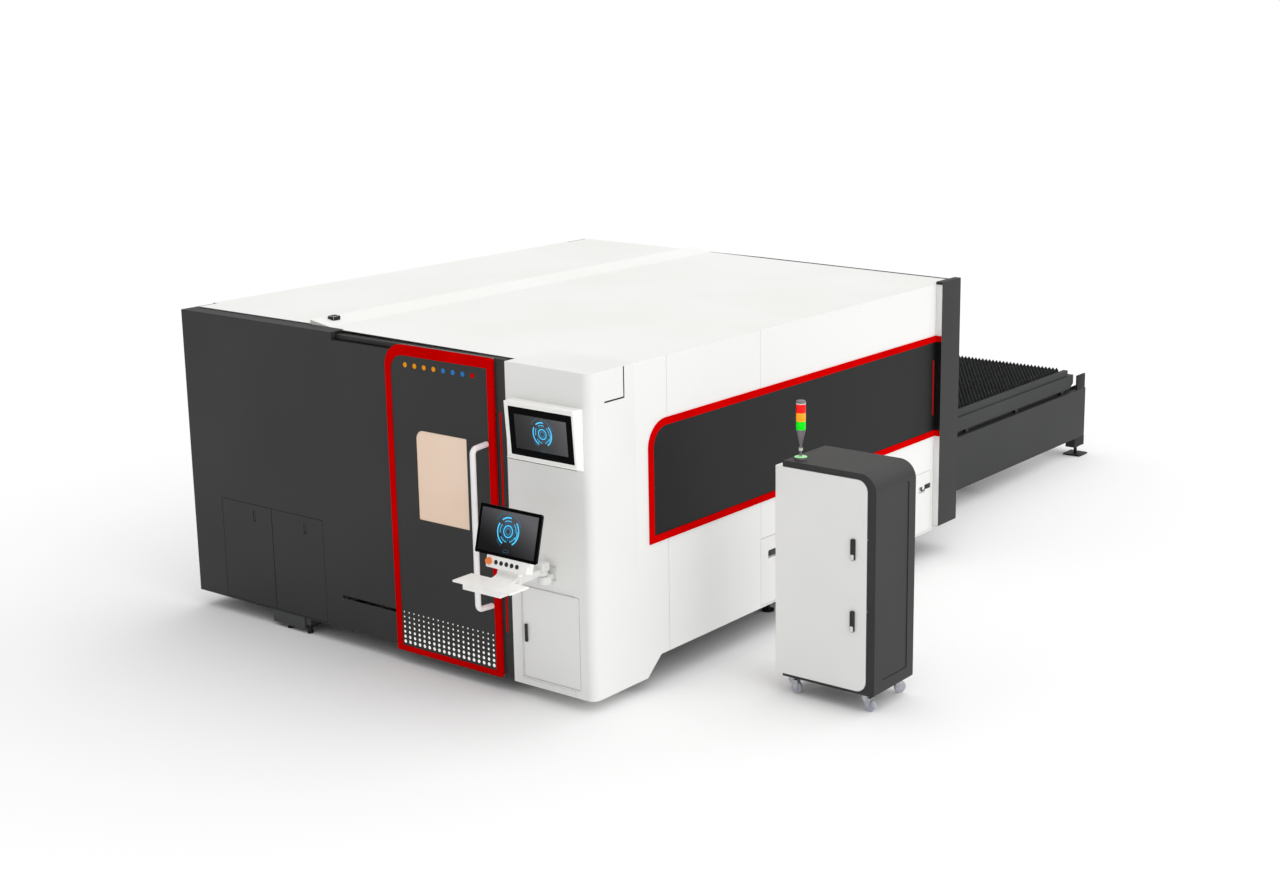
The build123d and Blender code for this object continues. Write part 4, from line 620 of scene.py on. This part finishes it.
class CUTTER_OT_coats(bpy.types.Operator):
    """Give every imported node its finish"""
    bl_idname = "cutter.coats"
    bl_label = "Coat the packed nodes"

    def execute(self, context):
        for key, names in COATS.items():
            for name in names:
                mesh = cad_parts[name].data
                mesh.materials.clear()
                mesh.materials.append(finish_named(key))
        return {"FINISHED"}


class CUTTER_OT_slats(bpy.types.Operator):
    """Make the toothed slats of the outer pallet at their true pitch"""
    bl_idname = "cutter.slats"
    bl_label = "Toothed slats"

    def execute(self, context):
        sizes = context.scene.cutter_sizes
        height, thickness, end_margin = 0.11, 0.003, 0.06
        half_bar, bar_inset, bar_rise = 0.015, 0.03, 0.03
        low, high = (Vector(v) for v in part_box("outer_slats"))
        width = high.x - low.x
        teeth = round(width / sizes.tooth_pitch)
        pitch = width / teeth
        base = high.z - sizes.tooth_depth
        foot = high.z - height
        bm = bmesh.new()
        # one tooth: a narrow five-sided plate, repeated along the slat
        corners = ((0, foot), (pitch, foot), (pitch, base), (pitch / 2, high.z), (0, base))
        face = bm.faces.new([bm.verts.new((low.x + x, low.y, z)) for x, z in corners])
        side = bmesh.ops.extrude_face_region(bm, geom=[face])["geom"]
        bmesh.ops.translate(bm, vec=(0, thickness, 0), verts=only_verts(side))
        bmesh.ops.delete(bm, geom=[f for f in bm.faces if abs(f.normal.x) > 0.99], context="FACES")
        tooth = everything(bm)
        for n in range(1, teeth):
            copy = bmesh.ops.duplicate(bm, geom=tooth)["geom"]
            bmesh.ops.translate(bm, vec=(n * pitch, 0, 0), verts=only_verts(copy))
        bmesh.ops.remove_doubles(bm, verts=bm.verts, dist=1e-5)
        bmesh.ops.holes_fill(bm, edges=[e for e in bm.edges if e.is_boundary], sides=0)
        slat = everything(bm)
        count = int((high.y - low.y - end_margin) / sizes.slat_pitch)
        start = (high.y - low.y - count * sizes.slat_pitch) / 2
        for n in range(1, count + 1):
            copy = bmesh.ops.duplicate(bm, geom=slat)["geom"]
            bmesh.ops.translate(bm, vec=(0, n * sizes.slat_pitch, 0), verts=only_verts(copy))
        bmesh.ops.translate(bm, vec=(0, start, 0), verts=bm.verts)
        bars = [bar((x - half_bar, low.y, low.z), (x + half_bar, high.y, foot + bar_rise), 0.002)
                for x in (low.x + bar_inset, (low.x + high.x) / 2, high.x - bar_inset)]
        rows = piece("toothed_slats", joined([bm] + bars), "slat", "upper_pallet", smooth=False)
        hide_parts("outer_slats")
        return {"FINISHED"}


class CUTTER_OT_screens(bpy.types.Operator):
    """Add the displays with their plain dial drawings, the glass carrier and the button collars"""
    bl_idname = "cutter.screens"
    bl_label = "Displays"

    def execute(self, context):
        radius = context.scene.cutter_sizes.dial_radius
        skin = 0.0004
        # node, body and name; black border round the display; dial's shift right and up, and its scale
        for node, body, name, border, aside, rise, scale in (
                ("monitor_screen", "machine", "upper", 0.044, 0.012, 0.006, 0.88),
                ("console_screen", "console", "lower", 0.019, 0.0, 0.010, 1.0)):
            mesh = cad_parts[node].data
            front = max((p for p in mesh.polygons if p.normal.y < -0.5), key=lambda p: p.area)
            out = front.normal.normalized()
            across = Vector((1, 0, 0))
            up = out.cross(across).normalized()
            face = [mesh.vertices[i].co for p in mesh.polygons if p.normal.dot(out) > 0.999 for i in p.vertices]
            reach = max(c.dot(out) for c in face)
            tall = [c.dot(up) for c in face]
            wide = [c.x for c in face]
            half_w = (max(wide) - min(wide)) / 2 - border
            half_h = (max(tall) - min(tall)) / 2 - border
            centre = across * ((max(wide) + min(wide)) / 2) + up * ((max(tall) + min(tall)) / 2) + out * reach
            turn = Matrix((across, up, out)).transposed().to_4x4()
            place = Matrix.Translation(centre) @ turn
            panel = placed(bar((-half_w, -half_h, 0), (half_w, half_h, skin), skin / 2, 1), place)
            piece(name + "_display", panel, name + "_display", body)
            if name == "lower":
                carrier = placed(glass_carrier(half_w + border, half_h + border), place)
                piece("lower_glass_carrier", carrier, "black_rubber", body)
                piece("button_collars", button_collars(out, turn), "black_cap", body)
            bright, deep = dial(radius)
            lift = Matrix.Translation((aside, rise, skin)) @ Matrix.Scale(scale, 4)
            piece(name + "_dial_bright", placed(bright, place @ lift), "cyan_mark", body, smooth=False)
            piece(name + "_dial_deep", placed(deep, place @ lift), "deep_cyan_mark", body, smooth=False)
        return {"FINISHED"}


class CUTTER_OT_trim(bpy.types.Operator):
    """Add the thin stripes, the red returns of the door's edges and the plain dots"""
    bl_idname = "cutter.trim"
    bl_label = "Stripes and plain marks"

    def execute(self, context):
        sizes = context.scene.cutter_sizes
        half, skin = sizes.stripe_width / 2, 0.0008
        low, high = (Vector(v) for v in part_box("door_surround"))
        x, bottom, top = high.x - 0.045, 0.386, 1.768
        stripe = bar((x - half, low.y - skin, bottom), (x + half, low.y, top), 0.0003)
        piece("surround_stripe", stripe, "red_enamel", "machine")
        low, high = (Vector(v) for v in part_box("side_band_panel"))
        y, bottom, top = high.y - 0.03, 1.092, 1.510
        stripe = bar((high.x, y - half, bottom), (high.x + skin, y + half, top), 0.0003)
        piece("band_stripe", stripe, "red_enamel", "machine")

        low, high = (Vector(v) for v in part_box("sliding_door"))
        # the left return ends below the large corner of the frame
        near, deep, thin, foot = 0.0004, 0.0138, 0.0005, 0.01
        returns = [bar((x, low.y + near, low.z + foot), (x + thin, low.y + deep, high.z - short), 0.0001, 1)
                   for x, short in ((low.x - 0.0006, 0.152), (high.x + 0.0001, 0.006))]
        piece("door_edge_returns", joined(returns), "red_enamel", "front_door")
        dots = {"amber_enamel": [], "blue_enamel": [], "red_enamel": []}
        first, pitch, level = 0.176, 0.081, 1.968
        for n in range(8):
            key = "amber_enamel" if n < 4 else "blue_enamel" if n < 7 else "red_enamel"
            centre = (low.x + first + n * pitch, low.y, level)
            dots[key].append(disc(centre, (0, -1, 0), sizes.dot_radius, skin, 28, 0.0002))
        for key, discs in dots.items():
            piece("door_dots_" + key.split("_")[0], joined(discs), key, "front_door")
        return {"FINISHED"}


class CUTTER_OT_seals(bpy.types.Operator):
    """Add the gaskets of the hatches, the black fillings (one of them painted shade in the guide slot) and the
    skins of the portal and the table's end
    """
    bl_idname = "cutter.seals"
    bl_label = "Gaskets, fillings and skins"

    def execute(self, context):
        for node, body, facing, free, key in (
                ("front_access_door_left", "front_hatch_left", "front", "high", "charcoal_sheet"),
                ("front_access_door_right", "front_hatch_right", "front", "high", "charcoal_sheet"),
                ("column_door", "column_hatch", "front", "low", "pale_gasket"),
                ("side_access_door_front", "side_hatch_front", "side", "low", "pale_gasket"),
                ("side_access_door_rear", "side_hatch_rear", "side", "high", "pale_gasket")):
            piece(node + "_gasket", gasket(node, facing, free), key, body)
        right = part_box("operator_column")[1][0]
        inner, outer, back = right - 0.0155, right + 0.0004, 0.2950
        seal = [bar((inner, 0.2850, 1.894), (outer, back, 2.0755), 0.0005),
                bar((inner, 0.1122, 1.8850), (outer, back, 1.8950), 0.0005)]
        piece("column_groove_seal", joined(seal), "black_rubber", "machine")
        # black sheet in the guide slot: painted shade for the dark inside of the slot
        slot = bar((0.372, 0.0125, 0.322), (1.032, 0.0145, 0.348), 0.0005)
        piece("guide_slot_painted_shade", slot, "black_rubber", "machine")
        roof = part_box("right_roof_panel")[1][2]
        cap = bar((0.1095, 0.1995, roof - 0.031), (0.1655, 0.2605, roof + 0.0002), 0.003, 3)
        piece("roof_block_cap", cap, "black_rubber", "machine")

        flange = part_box("rear_portal")[0][1]
        x0, x1, y0, y1 = right + 0.0005, right + 0.0495, flange - 0.0008, flange - 0.0001
        # the side's colours run on over the narrow front face of the portal
        for name, key, spans in (("portal_flange_white", "white_sheet", ((0.233, 0.9295), (1.6945, 2.076))),
                                 ("portal_flange_red", "red_enamel", ((0.930, 0.9745), (1.6495, 1.694))),
                                 ("portal_flange_dark", "band_sheet", ((0.975, 1.649),))):
            skins = [bar((x0, y0, bottom), (x1, y1, top), 0.0002, 1) for bottom, top in spans]
            piece(name, joined(skins), key, "machine")
        near, far = (Vector(v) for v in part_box("exchange_frame"))
        sleeve, foot, top = 0.0162, 0.6202, far.z + 0.0004
        sleeves = [bar((x, far.y - 0.1706, foot), (x + sleeve, far.y - 0.0196, top), 0.002)
                   for x in (near.x + 0.0004, far.x - 0.0166)]
        piece("stop_post_sleeves", joined(sleeves), "black_rubber", "machine")
        skin, foot, top = 0.0008, 0.088, 0.170
        skins = [bar((x, far.y - 0.176, foot), (x + skin, far.y - 0.002, top), 0.0002, 1)
                 for x in (near.x + 0.0001, far.x - 0.0009)]
        piece("foot_bracket_skins", joined(skins), "black_rubber", "machine")
        return {"FINISHED"}


class CUTTER_OT_station(bpy.types.Operator):
    """Make the housing of the upper screen, the column's top skin and the covers of the console's arm"""
    bl_idname = "cutter.station"
    bl_label = "Operator station"

    def execute(self, context):
        bolt = context.scene.cutter_sizes.bolt_radius
        low, high = (Vector(v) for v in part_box("monitor_housing"))
        shell = piece("monitor_housing_shell", housing(low, high), "white_moulding", "machine")
        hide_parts("monitor_housing")
        sill = bar((low.x - 0.001, -0.0975, 1.520), (high.x - 0.038, -0.0885, 1.531), 0.002)
        piece("monitor_sill", sill, "white_moulding", "machine")
        # black strip under the sill: painted shadow of the lip on the column
        seal = bar((low.x + 0.003, -0.0965, 1.5165), (high.x - 0.041, -0.0905, 1.5202), 0.0005)
        piece("monitor_sill_painted_shadow", seal, "black_rubber", "machine")
        piece("column_top_skin", top_skin(), "white_sheet", "machine")

        low, high = (Vector(v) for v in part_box("arm_bracket"))
        heads = [disc((x, low.y + 0.0825, z), (0, -1, 0), bolt, 0.003, 20, 0.0008)
                 for x in (high.x - 0.024, high.x - 0.008) for z in (low.z + 0.009, high.z - 0.009)]
        piece("bracket_bolts", joined(heads), "zinc_bolt", "machine")
        # moulded covers of the wall joint: the bracket's stays, the link's turns on this axis
        x, y, up = 2.182, -0.09, (0, 0, 1)
        cover = disc((x + 0.012, y + 0.006, 0.784), up, 0.044, 0.044, 40, 0.006)
        piece("bracket_joint_cover", cover, "arm_painted_shade", "machine")
        block = bar((x - 0.036, y - 0.036, 0.860), (x + 0.036, y + 0.034, 0.912), 0.009, 3)
        cup = disc((x, y, 0.8345), up, 0.033, 0.06, 36, 0.004)
        piece("link_joint_cover", joined([block, cup]), "arm_painted_shade", "swing_link")
        return {"FINISHED"}


class CUTTER_OT_lights(bpy.types.Operator):
    """Add the glowing discs in the vents of the door, painted light for the white lining seen through them, and
    the base and rings of the signal light
    """
    bl_idname = "cutter.lights"
    bl_label = "Vents and signal light"

    def execute(self, context):
        low, high = (Vector(v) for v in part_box("sliding_door"))
        columns, rows, pitch_x, pitch_z, lowest = 19, 7, 0.0427, 0.033, 0.152
        # radius of the vents in the lowest and the highest row, and the play round each glowing disc
        widest, narrowest, play = 0.0126, 0.0056, 0.0003
        behind, thickness = 0.0016, 0.0012
        middle = (low.x + high.x) / 2
        lights = []
        for n in range(rows):
            radius = widest + (narrowest - widest) * n / (rows - 1) - play
            for m in range(columns):
                x = middle + (m - (columns - 1) / 2) * pitch_x
                centre = (x, low.y + behind, lowest + n * pitch_z)
                lights.append(disc(centre, (0, -1, 0), radius, thickness, 20, 0))
        # the discs glow as painted light, though nothing behind the vents is a lamp
        piece("vent_discs_painted_light", joined(lights), "vent_painted_glow", "front_door", smooth=False)

        low, high = (Vector(v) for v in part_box("stack_light_post"))
        x, y = (low.x + high.x) / 2, (low.y + high.y) / 2
        glow = disc((x, y, low.z + 0.0142), (0, 0, 1), 0.0385, 0.0012, 40, 0.0004)
        piece("lamp_base_glow", glow, "lamp_base", "machine")
        # level, inner and outer radius and height of each ring
        rings = [ring((x, y, z), inner, outer, height) for z, inner, outer, height in (
            (low.z + 0.052, 0.0082, 0.0118, 0.016), (low.z + 0.0156, 0.0082, 0.015, 0.006),
            (high.z - 0.0215, 0.0285, 0.0296, 0.0065))]
        piece("lamp_rings", joined(rings), "pale_trim", "machine")
        return {"FINISHED"}


class CUTTER_OT_latches(bpy.types.Operator):
    """Add the strike pins, latches, grips and key caps"""
    bl_idname = "cutter.latches"
    bl_label = "Latches"

    def execute(self, context):
        strikes = [disc((3.8235, 0.9205, z), (0, -1, 0), 0.0036, 0.0024, 16, 0.0005) for z in (0.642, 1.084)]
        piece("cabinet_strike_pins", joined(strikes), "white_cap", "machine")
        for node, body in (("front_access_door_left", "front_hatch_left"),
                           ("front_access_door_right", "front_hatch_right")):
            low, high = (Vector(v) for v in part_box(node))
            x, z = high.x - 0.169, 0.75
            plate = bar((x - 0.0125, low.y + 0.002, z - 0.038), (x + 0.0125, low.y + 0.008, z + 0.038), 0.0022)
            tab = bar((x - 0.007, low.y + 0.0005, z - 0.03), (x + 0.007, low.y + 0.003, z + 0.004), 0.001)
            piece(node + "_latch", joined([plate, tab]), "black_latch", body)
        # middle of each side latch, and the way its key end faces
        for node, body, y, side in (("side_access_door_front", "side_hatch_front", 1.8175, 1),
                                    ("side_access_door_rear", "side_hatch_rear", 3.8075, -1)):
            x, z = Vector(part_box(node)[1]).x, 0.558
            plate = bar((x - 0.008, y - 0.0625, z - 0.0245), (x - 0.001, y + 0.0625, z + 0.0245), 0.003)
            y0, y1 = sorted((y + side * 0.022, y - side * 0.058))
            lever = bar((x - 0.004, y0, z - 0.018), (x + 0.003, y1, z + 0.018), 0.002)
            piece(node + "_latch", joined([plate, lever]), "black_latch", body)
            y0, y1 = sorted((y + side * 0.026, y + side * 0.057))
            cap = bar((x - 0.004, y0, z - 0.015), (x + 0.004, y1, z + 0.015), 0.004, 3)
            piece(node + "_key_cap", cap, "white_cap", body)
        low = Vector(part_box("column_door")[0])
        x, bottom, top = low.x + 0.03, 0.362, 0.476
        grip = bar((x - 0.0105, low.y - 0.001, bottom), (x + 0.0105, low.y + 0.010, top), 0.004, 3)
        piece("column_door_grip", grip, "black_latch", "column_hatch")
        for name, body in (("cabinet_lock_upper", "upper_lock"), ("cabinet_lock_lower", "lower_lock")):
            low, high = (Vector(v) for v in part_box(name))
            x = (low.x + high.x) / 2
            cap = bar((x - 0.011, low.y - 0.0015, low.z + 0.004), (x + 0.011, low.y + 0.005, low.z + 0.038),
                      0.004, 3)
            piece(name + "_key_cap", cap, "white_cap", body)
        return {"FINISHED"}


class CUTTER_OT_stage(bpy.types.Operator):
    """Add the floor, the lights and the camera"""
    bl_idname = "cutter.stage"
    bl_label = "Stage"

    def execute(self, context):
        scene = context.scene
        sizes = scene.cutter_sizes
        colours = scene.cutter_colours
        bm = bmesh.new()
        bmesh.ops.create_grid(bm, x_segments=4, y_segments=4, size=70)
        mesh = bpy.data.meshes.new("studio_floor")
        bm.to_mesh(mesh)
        bm.free()
        floor = bpy.data.objects.new("studio_floor", mesh)
        scene.collection.objects.link(floor)
        # matt emulsion: flat and even, with hardly any reflection
        material, _, shader = surface("matt_studio_floor", "#F6F6F6", 0.9)
        shader.inputs["Base Color"].default_value = (*colours.floor, 1)
        shader.inputs["Specular IOR Level"].default_value = 0.1
        mesh.materials.append(material)

        world = bpy.data.worlds.new("studio_world")
        world.use_nodes = True
        tree = world.node_tree
        tree.nodes.clear()
        ray = add(tree, "ShaderNodeLightPath")
        seen = add(tree, "ShaderNodeMath", operation="MAXIMUM",
                   links={0: ray.outputs["Is Camera Ray"], 1: ray.outputs["Is Transmission Ray"]})
        soft = add(tree, "ShaderNodeBackground", {"Color": (1, 1, 1, 1), "Strength": sizes.sky_strength})
        white = add(tree, "ShaderNodeBackground", {"Color": (*colours.backdrop, 1), "Strength": 1.0})
        mixed = add(tree, "ShaderNodeMixShader",
                    links={0: seen.outputs[0], 1: soft.outputs[0], 2: white.outputs[0]})
        add(tree, "ShaderNodeOutputWorld", links={"Surface": mixed.outputs[0]})
        scene.world = world

        # far, very broad lamps keep the floor one even white out to its edge
        for name, towards, spread, power in (
                ("overhead_softbox", (0.36, 0.34, 0.87), 100.0, sizes.key_power),
                ("right_softbox", (0.9, -0.1, 0.42), 60.0, sizes.fill_power)):
            lamp = bpy.data.lights.new(name, "SUN")
            lamp.angle = math.radians(spread)
            lamp.energy = power
            holder = bpy.data.objects.new(name, lamp)
            holder.rotation_euler = Vector(towards).to_track_quat("Z", "Y").to_euler()
            scene.collection.objects.link(holder)

        # fitted to the straight edges of the cabin in the photograph
        tilt, heading = 13.081, 34.940
        view = bpy.data.cameras.new("photo_camera")
        view.sensor_width = 36.0
        view.sensor_fit = "HORIZONTAL"
        view.lens = 53.67
        view.shift_x = -0.10787
        view.shift_y = -0.02309
        view.clip_end = 200.0
        camera = bpy.data.objects.new("photo_camera", view)
        camera.location = (9.5254, -8.1564, 4.3354)
        camera.rotation_euler = Euler((math.radians(90 - tilt), 0, math.radians(heading)))
        scene.collection.objects.link(camera)
        scene.camera = camera
        scene.view_settings.view_transform = "Standard"
        return {"FINISHED"}


class CUTTER_PT_panel(bpy.types.Panel):
    """Sizes, colours and steps of the dressing"""
    bl_idname = "CUTTER_PT_panel"
    bl_label = "Laser cutting machine"
    bl_space_type = "VIEW_3D"
    bl_region_type = "UI"
    bl_category = "Cutter"

    def draw(self, context):
        layout = self.layout
        for group in (context.scene.cutter_sizes, context.scene.cutter_colours):
            for name in group.bl_rna.properties.keys():
                if name not in ("rna_type", "name"):
                    layout.prop(group, name)
        for step in STEPS:
            layout.operator(step.bl_idname)


STEPS = (CUTTER_OT_coats, CUTTER_OT_slats, CUTTER_OT_screens, CUTTER_OT_trim, CUTTER_OT_seals,
         CUTTER_OT_station, CUTTER_OT_lights, CUTTER_OT_latches, CUTTER_OT_stage)
CLASSES = (CutterSizes, CutterColours) + STEPS + (CUTTER_PT_panel,)


def register():
    for item in CLASSES:
        bpy.utils.register_class(item)
    bpy.types.Scene.cutter_sizes = PointerProperty(type=CutterSizes)
    bpy.types.Scene.cutter_colours = PointerProperty(type=CutterColours)


def unregister():
    del bpy.types.Scene.cutter_colours
    del bpy.types.Scene.cutter_sizes
    for item in reversed(CLASSES):
        bpy.utils.unregister_class(item)


def main():
    register()
    for step in STEPS:
        group, name = step.bl_idname.split(".")
        getattr(getattr(bpy.ops, group), name)()


if __name__ == "__main__":
    main()
